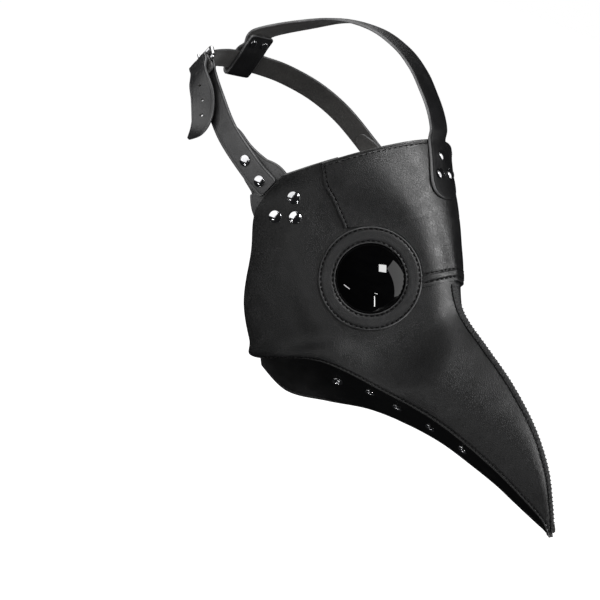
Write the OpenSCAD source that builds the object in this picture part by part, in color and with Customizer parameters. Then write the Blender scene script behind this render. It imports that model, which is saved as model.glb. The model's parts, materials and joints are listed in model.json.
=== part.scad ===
// Plague doctor mask: two sewn side panels, a brow panel, vented under panels and a head harness.
// Frame: origin at the nose bridge, -Y out of the face along the beak, +Z up, wearer's right is -X.

/* [Leather] */
// thickness of the panel leather
leather_t = 1.8; // [1.4:0.1:2.4]
// gap kept between two layers of leather
ply_gap = 0.2; // [0.1:0.05:0.4]
// overall scale of the beak's reach in front of the nose bridge
beak_reach = 1; // [0.9:0.05:1.1]

/* [Eye pieces] */
// outer radius of the leather eye ring
ring_r = 31.5; // [29:0.5:33]
// radius of the hole in the eye ring
ring_bore_r = 21.4; // [20:0.1:24]
// outer radius of the lens
dome_r = 21; // [19:0.1:23]
// height of the lens's straight wall over the back of its flange
wall_h = 4.2; // [3:0.1:6]
// height of the lens dome over its straight wall
dome_h = 8.4; // [6:0.2:12]
// radius of the lens flange
flange_r = 26.5; // [24:0.5:28]
// wall of the lens
lens_t = 1.4; // [1:0.1:2]

/* [Straps] */
// width of the side and back straps
strap_w = 15; // [12:0.5:20]
// width of the crown strap
crown_w = 18; // [14:0.5:22]
// width of the flared foot of the crown strap
crown_foot_w = 25; // [20:0.5:28]
// thickness of the strap leather
strap_t = 1.8; // [1.4:0.1:2.4]

/* [Hardware] */
// radius of a rivet cap
rivet_r = 3.9; // [3:0.1:5]
// radius of a rivet shank
shank_r = 1.3; // [1:0.1:1.6]
// outer radius of an eyelet flange
eyelet_r = 3.4; // [2.5:0.1:4]
// clear radius through an eyelet
eyelet_bore_r = 1.6; // [1:0.1:2]
// radius of the buckle's heel bar
bar_r = 1.3; // [1:0.1:1.6]
// distance from the heel bar to the toe bar
buckle_l = 15; // [12:0.5:18]
// radius of the punched holes in the free end of the strap
punch_r = 0.9; // [0.6:0.1:1.5]
// radial running clearance of the prong's eye on the bar
run_c = 0.08; // [0.03:0.01:0.1]

/* [Hidden] */
$fn = 48;
leather = [0.05, 0.05, 0.055];
strap_c = [0.07, 0.07, 0.075];
chrome_c = [0.8, 0.8, 0.82];
lens_c = [0.03, 0.03, 0.035, 0.9];

function unit(v) = v / norm(v);
// smooth curve through the points of P, t from 0 to 1
function cr(P, t) =
  let(n = len(P) - 1, s = min(max(t, 0) * n, n - 0.000001), i = floor(s), f = s - i)
  let(a = P[max(i - 1, 0)], b = P[i], c = P[i + 1], d = P[min(i + 2, n)])
  0.5 * (2 * b + (c - a) * f + (2 * a - 5 * b + 4 * c - d) * f * f
    + (3 * b - a - 3 * c + d) * f * f * f);
function beak(P) = [for (p = P) [p.x, p.y < 0 ? p.y * beak_reach : p.y, p.z]];

// stations of the shell, from the top of the brow to the tip of the beak:
// the middle line, the outer edge, the angle of the skin at each and the roundness of the middle
ridge = beak([[0, 44.5, 75], [0, 32, 56.5], [0, 18, 36], [0, 6.5, 16], [0, -2, 1],
  [0, -9.5, -11], [0, -19.5, -19.5], [0, -39.5, -30], [0, -63, -43], [0, -86, -60],
  [0, -103.5, -79], [0, -114.5, -98], [0, -121.5, -112.5]]);
edge = beak([[-76, 90, 31.5], [-77, 101, 5.5], [-76, 96, -19], [-73, 92, -50],
  [-68, 82.5, -72.5], [-65, 76.5, -81.5], [-56, 37.5, -68], [-39, -4.5, -71.5],
  [-26, -40, -77.5], [-14.5, -77, -90], [-7.5, -102.5, -101.5], [-4, -115.5, -108.5],
  [-2.2, -122, -115.5]]);
phi = [90, 90, 90, 90, 88, 80, 68, 58, 54, 54, 54, 54, 50];
psi = [25, 14, 8, 2, 0, 0, 4, 8, 10, 12, 14, 16, 20];
fore = [0.3, 0.27, 0.22, 0.15, 0.12, 0.14, 0.2, 0.28, 0.33, 0.36, 0.36, 0.36, 0.36];
keel = beak([[-63, 75, -83.5], [-50, 57, -96], [-31, 38, -95.5], [-9, 23.5, -95],
  [0, 6, -95], [0, -13, -94.5], [0, -33, -95.5], [0, -55, -99], [0, -75.5, -103],
  [0, -90, -107], [0, -101, -110], [0, -108.5, -112], [0, -114.5, -113.5],
  [0, -118.5, -115], [0, -122, -117]]);

// eye plane: its centre and outward normal
eye_c = [-39, 31.5, -11.5];
eye_az = 54;
eye_el = 12;
eye_n = [-sin(eye_az) * cos(eye_el), -cos(eye_az) * cos(eye_el), sin(eye_el)];
flat_in = 34;
flat_out = 50;
eye_x = unit(cross([0, 0, 1], eye_n));
eye_y = cross(eye_n, eye_x);
// the flat fades out more slowly down the cheek and up the temple
cheek_d = eye_x * 0.5 - eye_y * 0.866;
cheek_fade = 26;
temple_d = eye_y * 0.866 - eye_x * 0.5;
temple_fade = 20;

// point of the skin before the eye is pressed flat: u down the middle line, v outwards
function base(u, v) =
  let(F = cr(ridge, u), R = cr(edge, u), a = cr(phi, u), b = cr(psi, u), w = R - F, L = norm(w))
  let(q = [0, w.y, w.z] / norm([w.y, w.z]))
  let(C1 = F + ([-1, 0, 0] * sin(a) + q * cos(a)) * cr(fore, u) * L)
  let(C2 = R - ([-1, 0, 0] * sin(b) + q * cos(b)) * 0.38 * L, m = 1 - v)
  F * m * m * m + C1 * 3 * v * m * m + C2 * 3 * v * v * m + R * v * v * v;
function skin(u, v) =
  let(p = base(u, v), d = (p - eye_c) * eye_n, w = p - eye_c - d * eye_n, r = norm(w))
  let(a = max(w * cheek_d, 0) / max(r, 1), b = max(w * temple_d, 0) / max(r, 1))
  let(out = flat_out + cheek_fade * a * a + temple_fade * b * b)
  let(s = min(max((out - r) / (out - flat_in), 0), 1))
  p - eye_n * d * s * s * (3 - 2 * s);
function skin_n(u, v) =
  let(e = 0.001, u0 = max(u - e, 0), u1 = min(u + e, 1), v0 = max(v - e, 0), v1 = min(v + e, 1))
  unit(cross(skin(u, v1) - skin(u, v0), skin(u1, v) - skin(u0, v)));
function off(u, v, o) = skin(u, v) + skin_n(u, v) * o;
// keeps a point on the right-hand side of the middle plane
function right(p) = [min(p.x, -0.15), p.y, p.z];
function mx(p) = [-p.x, p.y, p.z];

// closed shell between two grids of points with the same rows and columns
module shell(A, B) {
  r = len(A);
  c = len(A[0]);
  n = r * c;
  pts = concat([for (row = A) for (p = row) p], [for (row = B) for (p = row) p]);
  top = [for (i = [0:r - 2]) for (j = [0:c - 2]) let(k = i * c + j)
    each [[k, k + 1, k + c + 1], [k, k + c + 1, k + c]]];
  bot = [for (f = top) [f[0] + n, f[2] + n, f[1] + n]];
  rim = concat([for (j = [0:c - 2]) j], [for (i = [0:r - 2]) i * c + c - 1],
    [for (j = [c - 1:-1:1]) (r - 1) * c + j], [for (i = [r - 1:-1:1]) i * c]);
  m = len(rim);
  side = [for (i = [0:m - 1]) let(a = rim[i], b = rim[(i + 1) % m])
    each [[b, a, a + n], [b, a + n, b + n]]];
  polyhedron(points = pts, faces = concat(top, bot, side), convexity = 8);
}

// strap: mid-line points P, direction across at each point W, width along it and thickness;
// sag is one over the radius that it bends to across its width
module ribbon(P, W, wid, th, n, sag = [0, 0]) {
  T = [for (i = [0:n]) unit(cr(P, min(i / n + 0.002, 1)) - cr(P, max(i / n - 0.002, 0)))];
  X = [for (i = [0:n]) let(w = cr(W, i / n)) unit(w - T[i] * (w * T[i]))];
  H = [for (i = [0:n]) cr(wid, i / n) / 2];
  K = [for (i = [0:n]) cr(sag, i / n) / 2];
  S = max([for (k = sag) abs(k)]) > 0 ? [-1, -0.5, 0, 0.5, 1] : [-1, 1];
  A = [for (i = [0:n]) let(p = cr(P, i / n), N = cross(T[i], X[i]))
    [for (s = S) p + X[i] * H[i] * s + N * (th / 2 + K[i] * pow(H[i] * s, 2))]];
  B = [for (i = [0:n]) let(p = cr(P, i / n), N = cross(T[i], X[i]))
    [for (s = S) p + X[i] * H[i] * s + N * (-th / 2 + K[i] * pow(H[i] * s, 2))]];
  shell(B, A);
}

// puts children at point p with their +Z along d
module aim(p, d) {
  translate(p)
  rotate([0, acos(d.z / norm(d)), atan2(d.y, d.x)])
  children();
}

// rivet through a stack of leather: z = 0 is the outer face, g is the depth of the stack
module rivet(r, g) {
  dome = r * 1.9;
  sag = dome - sqrt(dome * dome - r * r);
  translate([0, 0, 0.55])
  intersection() {
    translate([0, 0, sag - dome]) sphere(r = dome);
    cylinder(r = r, h = 5);
  }
  translate([0, 0, 0.05]) cylinder(r = r, h = 0.5);
  translate([0, 0, -g - 0.5]) cylinder(r = shank_r, h = g + 0.8);
  translate([0, 0, -g - 0.9]) cylinder(r = r * 0.75, h = 0.85);
}

module eye_frame() {
  aim(eye_c, eye_n) children();
}

// where the side panel starts beside the middle line, under the brow panel
function side_v(u) = lookup(u, [[0, 0.69], [0.06, 0.6], [0.11, 0.49], [0.15, 0.3], [0.19, 0.19],
  [0.27, 0.14], [0.315, 0], [1, 0]]);
// outer seam of the brow panel
hem_u = 0.335;
function brow_v(t) = cr([0.785, 0.715, 0.64, 0.6, 0.565, 0.53, 0.48, 0.42], t);

module side_half() {
  nu = 44;
  nv = 15;
  U = [for (i = [0:nu]) i < 18 ? 0.42 * i / 18 : 0.42 + 0.58 * (i - 18) / (nu - 18)];
  A = [for (u = U) [for (j = [0:nv]) let(v = side_v(u) + (1 - side_v(u)) * j / nv)
    right(off(u, v, 0))]];
  B = [for (u = U) [for (j = [0:nv]) let(v = side_v(u) + (1 - side_v(u)) * j / nv)
    right(off(u, v, -leather_t))]];
  difference() {
    shell(A, B);
    eye_frame() translate([0, 0, -6]) cylinder(r = ring_bore_r + 0.6, h = 12);
  }
}

module side_panel_right() {
  color(leather) side_half();
}

module side_panel_left() {
  color(leather) mirror([1, 0, 0]) side_half();
}

function brow_pt(t, s, o) = let(v = abs(s) * brow_v(t), p = off(t * hem_u, v, o))
  s <= 0 ? p : mx(p);

module brow_panel() {
  nu = 18;
  nv = 12;
  A = [for (i = [0:nu]) [for (j = [nv:-1:-nv])
    brow_pt(i / nu, j / nv, ply_gap + leather_t)]];
  B = [for (i = [0:nu]) [for (j = [nv:-1:-nv])
    brow_pt(i / nu, j / nv, ply_gap)]];
  color(leather)
  difference() {
    shell(A, B);
    eye_frame() translate([0, 0, -8]) cylinder(r = ring_r + 0.4, h = 16);
    mirror([1, 0, 0]) eye_frame() translate([0, 0, -8]) cylinder(r = ring_r + 0.4, h = 16);
  }
}

// under panel: s from 0 to 0.3 runs inside the side panel's edge, then across to the keel line
function keel_t(u) = (u * 12 - 5) / 7;
function foot(u) = off(u, 1, -leather_t - ply_gap);
function belly(u, t) =
  let(B = foot(u), K = cr(keel, keel_t(u)), w = K - B, m = [w.x * 0.15, 0, -0.1 * norm(w)])
  let(M = (B + K) / 2 + m)
  B * (1 - t) * (1 - t) + M * 2 * t * (1 - t) + K * t * t;
function under(u, s) = s < 0.3
  ? off(u, 0.88 + 0.12 * s / 0.3, -leather_t - ply_gap)
  : belly(u, (s - 0.3) / 0.7);
function belly_n(u, t) =
  let(e = 0.002, u0 = max(u - e, u_rear), u1 = min(u + e, 1), t0 = max(t - e, 0), t1 = min(t + e, 1))
  unit(cross(belly(u, t1) - belly(u, t0), belly(u1, t) - belly(u0, t)));
function under_n(u, s) = s < 0.29 ? skin_n(u, 0.88 + 0.12 * s / 0.3)
  : s < 0.31 ? unit(skin_n(u, 1) + belly_n(u, 0)) * 1.1
  : belly_n(u, (s - 0.3) / 0.7);
u_rear = 0.425;
S_u = [0, 0.15, 0.3, 0.4, 0.52, 0.64, 0.76, 0.88, 1];
// the five vents, as stations along the belly
vents = [[0.517, 0.35], [0.557, 0.27], [0.593, 0.33], [0.645, 0.45], [0.697, 0.4]];

module under_half() {
  nu = 34;
  U = [for (i = [0:nu]) u_rear + (0.985 - u_rear) * i / nu];
  A = [for (u = U) [for (s = S_u) right(under(u, s))]];
  B = [for (u = U) [for (s = S_u) right(under(u, s) - under_n(u, s) * leather_t)]];
  difference() {
    shell(A, B);
    for (q = vents) aim(belly(q[0], q[1]), belly_n(q[0], q[1]))
      translate([0, 0, -5]) cylinder(r = eyelet_bore_r + 0.65, h = 8);
  }
}

module under_panel_right() {
  color(leather) under_half();
}

module under_panel_left() {
  color(leather) mirror([1, 0, 0]) under_half();
}

module eyelet() {
  rotate_extrude() polygon([[eyelet_bore_r, -2.9], [eyelet_bore_r + 0.55, -2.9],
    [eyelet_bore_r + 0.55, 0.12], [eyelet_r, 0.12], [eyelet_r, 0.35], [eyelet_r - 0.5, 0.75],
    [eyelet_bore_r + 0.5, 0.85], [eyelet_bore_r, 0.5]]);
}

module vent_half() {
  for (q = vents) aim(belly(q[0], q[1]), belly_n(q[0], q[1])) eyelet();
}

module vent_eyelets_right() {
  color(chrome_c) vent_half();
}

module vent_eyelets_left() {
  color(chrome_c) mirror([1, 0, 0]) vent_half();
}

// welt over the middle seam: a is the distance from the middle, o the height over the skin
function welt_pt(u, k, o) =
  let(a = cr([3, 2.6, 2.1, 1.8, 1.6, 1.5, 1.4], (u - 0.345) / 0.65), L = norm(cr(edge, u) - cr(ridge, u)))
  let(v = abs(k) * a / (3 * cr(fore, u) * L * sin(cr(phi, u))), n = skin_n(u, v))
  let(c = unit([0, n.y, n.z]))
  k == 0 ? skin(u, 0) + c * o / (c * n) : k < 0 ? skin(u, v) + n * o : mx(skin(u, v) + n * o);

module ridge_welt() {
  nu = 40;
  U = [for (i = [0:nu]) 0.345 + 0.65 * i / nu];
  color(leather)
  shell([for (u = U) [for (k = [1, 0.5, 0, -0.5, -1]) welt_pt(u, k, k * k == 1 ? 0.9 : 1.5)]],
    [for (u = U) [for (k = [1, 0.5, 0, -0.5, -1]) welt_pt(u, k, 0.15)]]);
}

module eye_ring() {
  difference() {
    translate([0, 0, ply_gap]) cylinder(r = ring_r, h = leather_t, $fn = 96);
    cylinder(r = ring_bore_r, h = 10, center = true, $fn = 96);
  }
}

module eye_ring_right() {
  color(leather) eye_frame() eye_ring();
}

module eye_ring_left() {
  color(leather) mirror([1, 0, 0]) eye_frame() eye_ring();
}

// lens with a flange behind the side panel, a straight wall through the ring and a dome
module lens() {
  flange_t = 1.2;
  R = (dome_r * dome_r + dome_h * dome_h) / (2 * dome_h);
  translate([0, 0, -leather_t - 0.15 - flange_t])
  difference() {
    union() {
      cylinder(r = flange_r, h = flange_t, $fn = 96);
      intersection() {
        translate([0, 0, wall_h + dome_h - R]) sphere(r = R, $fn = 96);
        cylinder(r = dome_r, h = 20, $fn = 96);
      }
    }
    intersection() {
      translate([0, 0, wall_h + dome_h - R]) sphere(r = R - lens_t, $fn = 96);
      translate([0, 0, -1]) cylinder(r = dome_r - lens_t, h = 20, $fn = 96);
    }
  }
}

module lens_right() {
  color(lens_c) eye_frame() lens();
}

module lens_left() {
  color(lens_c) mirror([1, 0, 0]) eye_frame() lens();
}

// leather ring behind the lens flange
module retainer() {
  z0 = -leather_t - 0.15;
  rotate_extrude($fn = 96) polygon([[23, z0 - 3], [30.3, z0 - 3], [30.3, z0], [flange_r + 0.4, z0],
    [flange_r + 0.4, z0 - 1.35], [23, z0 - 1.35]]);
}

module lens_retainer_right() {
  color(leather) eye_frame() retainer();
}

module lens_retainer_left() {
  color(leather) mirror([1, 0, 0]) eye_frame() retainer();
}

// the straps lie on this egg-shaped head form
head_c = [0, 128.5, 13];
head_a = [76, 98, 110];
function egg(p, o) =
  let(d = p - head_c, a = head_a + [o, o, o], k = norm([d.x / a.x, d.y / a.y, d.z / a.z]))
  head_c + d / k;
function egg_n(p) = let(d = p - head_c)
  unit([d.x / pow(head_a.x, 2), d.y / pow(head_a.y, 2), d.z / pow(head_a.z, 2)]);

// mid-line of the side strap from the temple up to the heel bar
side_pts = [[-76.1, 97.8, 20.1], [-78.5, 113.7, 27.7], [-77.1, 139.3, 41.1], [-69.5, 162.2, 55],
  [-58.5, 181, 63.8]];
// buckle frame: origin on the heel bar, x towards the toe bar, z out of the head
bk_o = egg([-50, 191, 67], 5.4);
bk_z = egg_n(bk_o);
bk_t0 = [0.706, 0.69, 0.158];
bk_x = unit(bk_t0 - bk_z * (bk_t0 * bk_z));
bk_y = cross(bk_z, bk_x);
function bk(x, z) = bk_o + bk_x * x + bk_z * z;
module bk_frame() {
  multmatrix([[bk_x.x, bk_y.x, bk_z.x, bk_o.x], [bk_x.y, bk_y.y, bk_z.y, bk_o.y],
    [bk_x.z, bk_y.z, bk_z.z, bk_o.z], [0, 0, 0, 1]])
  children();
}
// direction across a strap on the head form at point i of P
function across(P, i) = unit(cross(egg_n(P[i]), P[min(i + 1, len(P) - 1)] - P[max(i - 1, 0)]));

tab_at = [[0.135, 0.72], [0.115, 0.8], [0.095, 0.9]];
tab_p = concat([for (q = tab_at) off(q[0], q[1], -leather_t - ply_gap - strap_t / 2 - 0.2)],
  [for (p = [[-75, 99.5, 22], [-77, 111, 27.5], [-77.5, 124, 34], [-77, 136, 40], [-75.4, 147, 46]])
    egg(p, 0.8)]);
tab_w = [for (i = [0:len(tab_p) - 1]) i < 3
  ? unit(cross(skin_n(tab_at[i][0], tab_at[i][1]), tab_p[i + 1] - tab_p[max(i - 1, 0)]))
  : across(tab_p, i)];
tab_sag = [-0.014, -0.014, -0.014, -0.012, -0.01, -0.008, -0.006, 0];

module tab_half() {
  ribbon(tab_p, tab_w, [9, 25, 29, 27, 20, 15, 14, 8], strap_t, 30, tab_sag);
}

module temple_tab_right() {
  color(strap_c) tab_half();
}

module temple_tab_left() {
  color(strap_c) mirror([1, 0, 0]) tab_half();
}

temple_at = [[0.079, 0.82], [0.112, 0.89], [0.124, 0.797]];
module temple_rivets_half() {
  for (q = temple_at) aim(skin(q[0], q[1]), skin_n(q[0], q[1]))
    rivet(rivet_r, leather_t + ply_gap + strap_t + 0.25);
}

module temple_rivets_right() {
  color(chrome_c) temple_rivets_half();
}

module temple_rivets_left() {
  color(chrome_c) mirror([1, 0, 0]) temple_rivets_half();
}

lay = 0.15 + strap_t + ply_gap + strap_t / 2;
// buckle strap: up the side of the head, round the heel bar and back over itself
fold_r = bar_r + 0.3 + strap_t / 2;
bst_p = concat([for (p = side_pts) egg(p, lay)], [bk(-8, -fold_r), bk(-3, -fold_r)],
  [for (a = [0:30:180]) bk(fold_r * sin(a), -fold_r * cos(a))],
  [bk(-3.5, fold_r - 0.6), bk(-6.5, 0.1), bk(-10, -0.35), bk(-14, -0.4)]);
bst_w = [for (i = [0:len(bst_p) - 1]) i < 5 ? across(bst_p, i) : bk_y];

module buckle_strap() {
  color(strap_c)
  difference() {
    ribbon(bst_p, bst_w, [for (i = [0:len(bst_p) - 1]) strap_w], strap_t, 76);
    bk_frame() translate([1, 0, 0]) cube([9, 4.4, 12], center = true);
  }
}

strap_at = [egg([-78.7, 118.8, 30.6], lay), egg([-77.5, 104.6, 22.5], lay)];
module strap_rivets() {
  for (p = strap_at) aim(p + egg_n(p) * strap_t / 2, egg_n(p))
    rivet(rivet_r * 0.9, 2 * strap_t + ply_gap);
}

module buckle_strap_rivets() {
  color(chrome_c) strap_rivets();
}

module back_strap_rivets() {
  color(chrome_c) mirror([1, 0, 0]) strap_rivets();
}

// back strap: from the left temple round the back, under the toe bar and over the heel bar
bks_p = concat([for (p = side_pts) egg(mx(p), lay)],
  [for (p = [[44, 198, 69], [30, 209, 71], [16, 217, 72.5], [2, 219.5, 73], [-13, 217.5, 72]])
    egg(p, lay)],
  [bk(buckle_l + 3, -3.3), bk(buckle_l - 1, -3.1), bk(buckle_l - 5.5, -1.4), bk(6, 2.4), bk(3, 4.4),
    bk(0, 4.75), bk(-3, 4.7)]);
bks_w = [for (i = [0:len(bks_p) - 1]) i < 10 ? across(bks_p, i) : -bk_y];

module back_strap() {
  color(strap_c)
  difference() {
    ribbon(bks_p, bks_w, [for (i = [0:len(bks_p) - 1]) strap_w], strap_t, 90);
    bk_frame() translate([6, 0, 2]) cube([11, 3, 12], center = true);
  }
}

// free end of the back strap, with punched holes
tail_p = [bk(-3.35, 4.7), bk(-7, 4.4), [-68, 180.5, 64], [-74.5, 168, 55.5], [-79, 160, 44.5],
  [-80.8, 159.3, 36], [-80, 164, 28.5]];
tail_w = [bk_y, bk_y, bk_y, [-0.5, 0.62, -0.6], [-0.35, 0.75, -0.55], [-0.25, 0.9, -0.35],
  [-0.2, 0.95, -0.2]];

module strap_tail() {
  color(strap_c)
  difference() {
    ribbon(tail_p, tail_w, [strap_w, strap_w, strap_w, strap_w, strap_w - 1, 9.5, 2], strap_t, 48);
    for (t = [0.3, 0.42, 0.54, 0.66]) let(p = cr(tail_p, t), w = unit(cr(tail_w, t)),
      d = unit(cr(tail_p, t + 0.01) - cr(tail_p, t - 0.01)))
      aim(p, cross(d, w)) cylinder(r = punch_r, h = 8, center = true);
  }
}

module buckle_frame() {
  w = strap_w / 2 + 2.2;
  color(chrome_c)
  bk_frame() {
    rotate([90, 0, 0]) cylinder(r = bar_r, h = 2 * w, center = true);
    translate([buckle_l, 0, 0]) rotate([90, 0, 0]) cylinder(r = bar_r, h = 2 * w, center = true);
    for (s = [-1, 1]) translate([0, s * w, 0]) {
      rotate([0, 90, 0]) cylinder(r = bar_r, h = buckle_l);
      sphere(r = bar_r);
      translate([buckle_l, 0, 0]) sphere(r = bar_r);
    }
  }
}

module buckle_prong() {
  e = bar_r + run_c;
  color(chrome_c)
  bk_frame()
  difference() {
    union() {
      rotate([90, 0, 0]) cylinder(r = e + 1, h = 2.6, center = true);
      translate([0, 0, e + 0.45]) rotate([0, 90 - 2.1, 0]) cylinder(r = 0.95, h = buckle_l + 1.2);
      translate([buckle_l + 1.2, 0, e + 1.04]) sphere(r = 0.95);
    }
    rotate([90, 0, 0]) cylinder(r = e, h = 6, center = true);
  }
}

// crown strap: foot on the brow, over the head, then a loop round the back strap
foot_u = [0.136, 0.133, 0.127, 0.117, 0.1, 0.08, 0.055, 0.03, 0.005];
foot_w = [0.2, 0.5, 0.74, 0.92, 1, 0.95, 0.85, 0.77, 0.73];
foot_o = 2 * ply_gap + leather_t + strap_t / 2;
loop_o = egg([16, 217, 72.6], 0);
loop_n = egg_n(loop_o);
loop_x = unit(cross(loop_n, [0, 0, 1]));
loop_z = cross(loop_x, loop_n) * -1;
function lp(w, n) = loop_o + loop_z * -w + loop_n * n;
crown_p = concat([for (u = foot_u) off(u, 0, foot_o)],
  [[0.4, 43.6, 83], [2, 51, 92], [4, 61.5, 101], [8, 76, 110.5], [12, 95, 118.5], [15, 120, 123],
    [17, 148, 120], [18, 176, 108]],
  [lp(26, 2.9), lp(15, 2.9), lp(10, 4.8), lp(6, 5.6), lp(-5, 5.6)],
  [for (a = [30:30:150]) lp(-8.6 - 2.4 * sin(a), 2.9 + 2.7 * cos(a))],
  [lp(-5, 0.2), lp(8, 0.3), lp(15, 0.9), lp(24, 0.9)]);
crown_x = [for (i = [0:len(crown_p) - 1]) i < 16 ? [1, 0, 0] : loop_x * sign(loop_x.x)];
crown_sag = [for (i = [0:len(crown_p) - 1]) i < 9 ? 0.022 : i < 16 ? 0.013 : 0];

module crown_strap() {
  n = len(crown_p);
  color(strap_c)
  ribbon(crown_p, crown_x, [for (i = [0:n - 1]) i < 8 ? crown_foot_w * foot_w[i] : crown_w],
    strap_t, 116, crown_sag);
}

fore_at = [[0.045, 0], [0.083, 5.6], [0.083, -5.6]];
module forehead_rivets() {
  color(chrome_c)
  for (q = fore_at) let(n = skin_n(q[0], 0))
    aim(skin(q[0], 0) + n * (foot_o + strap_t / 2) + [q[1], 0, 0], n)
      rivet(rivet_r * 0.85, 2 * leather_t + ply_gap);
}

module crown_loop_rivets() {
  color(chrome_c)
  for (x = [-4.5, 4.5]) aim(lp(18, 2.9 + strap_t / 2) + loop_x * x, loop_n)
    rivet(rivet_r * 0.85, 2 * strap_t + ply_gap);
}

side_panel_right();
side_panel_left();
brow_panel();
under_panel_right();
under_panel_left();
ridge_welt();
vent_eyelets_right();
vent_eyelets_left();
eye_ring_right();
eye_ring_left();
lens_right();
lens_left();
lens_retainer_right();
lens_retainer_left();
temple_tab_right();
temple_tab_left();
temple_rivets_right();
temple_rivets_left();
buckle_strap();
buckle_strap_rivets();
back_strap();
back_strap_rivets();
crown_strap();
forehead_rivets();
crown_loop_rivets();
buckle_frame();
buckle_prong();
strap_tail();
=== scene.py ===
import json
import math

import bpy
import numpy as np
from mathutils import Matrix, Quaternion, Vector

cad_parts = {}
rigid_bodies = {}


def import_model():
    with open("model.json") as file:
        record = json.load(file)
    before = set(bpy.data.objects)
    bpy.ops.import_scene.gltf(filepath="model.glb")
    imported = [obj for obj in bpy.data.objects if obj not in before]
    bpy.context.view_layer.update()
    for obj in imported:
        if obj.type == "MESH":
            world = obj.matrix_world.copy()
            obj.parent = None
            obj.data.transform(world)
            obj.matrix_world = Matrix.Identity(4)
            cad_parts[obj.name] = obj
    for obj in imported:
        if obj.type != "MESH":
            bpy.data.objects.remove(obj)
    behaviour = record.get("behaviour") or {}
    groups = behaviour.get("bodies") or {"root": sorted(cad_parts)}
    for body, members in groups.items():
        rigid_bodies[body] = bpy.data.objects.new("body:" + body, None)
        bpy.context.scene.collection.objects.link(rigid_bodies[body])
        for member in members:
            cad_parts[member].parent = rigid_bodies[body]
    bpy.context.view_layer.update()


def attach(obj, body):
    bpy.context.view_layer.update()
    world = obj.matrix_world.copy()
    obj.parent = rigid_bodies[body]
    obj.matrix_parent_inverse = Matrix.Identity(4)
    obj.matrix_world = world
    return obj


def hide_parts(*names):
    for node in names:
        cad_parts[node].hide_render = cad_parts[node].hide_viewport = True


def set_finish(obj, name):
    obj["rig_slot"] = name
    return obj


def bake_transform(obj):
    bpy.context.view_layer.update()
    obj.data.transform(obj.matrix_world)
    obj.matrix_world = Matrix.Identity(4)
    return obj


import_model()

MM = 0.001
LEATHER_T = 1.8
PLY_GAP = 0.2
RING_R = 31.5
RING_BORE_R = 21.4
DOME_R = 21.0
WALL_H = 4.2
DOME_H = 8.4
FLANGE_R = 26.5
LENS_T = 1.4
STRAP_W = 15.0
CROWN_W = 18.0
CROWN_FOOT_W = 25.0
STRAP_T = 1.8
RIVET_R = 3.9
SHANK_R = 1.3
EYELET_R = 3.4
EYELET_BORE_R = 1.6
BAR_R = 1.3
BUCKLE_L = 15.0
RUN_C = 0.08
EDGE_ROUND = 0.35

THREAD_R = 0.38
THIN_R = 0.22
STITCH_FILL = 0.74
STITCH_LIFT = 0.05
rng = np.random.default_rng(11)


# ---------------------------------------------------------------- curves and the skin of the mask


def unit(v):
    """Unit vectors along the last axis."""
    v = np.asarray(v, float)
    return v / np.linalg.norm(v, axis=-1, keepdims=True)


def cr(points, t):
    """Smooth curve through the points, for numbers or vectors, t from 0 to 1."""
    pts = np.asarray(points, float)
    n = len(pts) - 1
    s = np.minimum(np.maximum(np.asarray(t, float), 0) * n, n - 1e-6)
    i = s.astype(int)
    f = s - i
    if pts.ndim > 1:
        f = f[..., None]
    a, b, c, d = pts[np.maximum(i - 1, 0)], pts[i], pts[i + 1], pts[np.minimum(i + 2, n)]
    return 0.5 * (2 * b + (c - a) * f + (2 * a - 5 * b + 4 * c - d) * f**2 + (3 * b - a - 3 * c + d) * f**3)


RIDGE = [[0, 44.5, 75], [0, 32, 56.5], [0, 18, 36], [0, 6.5, 16], [0, -2, 1], [0, -9.5, -11],
         [0, -19.5, -19.5], [0, -39.5, -30], [0, -63, -43], [0, -86, -60], [0, -103.5, -79],
         [0, -114.5, -98], [0, -121.5, -112.5]]
EDGE = [[-76, 90, 31.5], [-77, 101, 5.5], [-76, 96, -19], [-73, 92, -50], [-68, 82.5, -72.5],
        [-65, 76.5, -81.5], [-56, 37.5, -68], [-39, -4.5, -71.5], [-26, -40, -77.5],
        [-14.5, -77, -90], [-7.5, -102.5, -101.5], [-4, -115.5, -108.5], [-2.2, -122, -115.5]]
RIDGE_ANGLE = [90, 90, 90, 90, 88, 80, 68, 58, 54, 54, 54, 54, 50]
EDGE_ANGLE = [25, 14, 8, 2, 0, 0, 4, 8, 10, 12, 14, 16, 20]
FORE = [0.3, 0.27, 0.22, 0.15, 0.12, 0.14, 0.2, 0.28, 0.33, 0.36, 0.36, 0.36, 0.36]
KEEL = [[-63, 75, -83.5], [-50, 57, -96], [-31, 38, -95.5], [-9, 23.5, -95], [0, 6, -95], [0, -13, -94.5],
        [0, -33, -95.5], [0, -55, -99], [0, -75.5, -103], [0, -90, -107], [0, -101, -110],
        [0, -108.5, -112], [0, -114.5, -113.5], [0, -118.5, -115], [0, -122, -117]]

EYE_C = np.array([-39, 31.5, -11.5])
EYE_AZ = math.radians(54)
EYE_EL = math.radians(12)
EYE_N = np.array([-math.sin(EYE_AZ) * math.cos(EYE_EL), -math.cos(EYE_AZ) * math.cos(EYE_EL),
                  math.sin(EYE_EL)])
EYE_X = unit(np.cross([0, 0, 1], EYE_N))
EYE_Y = np.cross(EYE_N, EYE_X)
FLAT_IN = 34.0
FLAT_OUT = 50.0
CHEEK_D = EYE_X * 0.5 - EYE_Y * 0.866
CHEEK_FADE = 26.0
TEMPLE_FADE = 20.0
NORMAL_STEP = 0.0015
RATE_STEP = 0.002


def smooth(x):
    """Smooth step of x held between 0 and 1."""
    x = np.clip(x, 0, 1)
    return x * x * (3 - 2 * x)


def around(x, e, low=0.0):
    """The places a small step either side of x, held between low and 1."""
    return np.maximum(x - e, low), np.minimum(x + e, 1)


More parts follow.
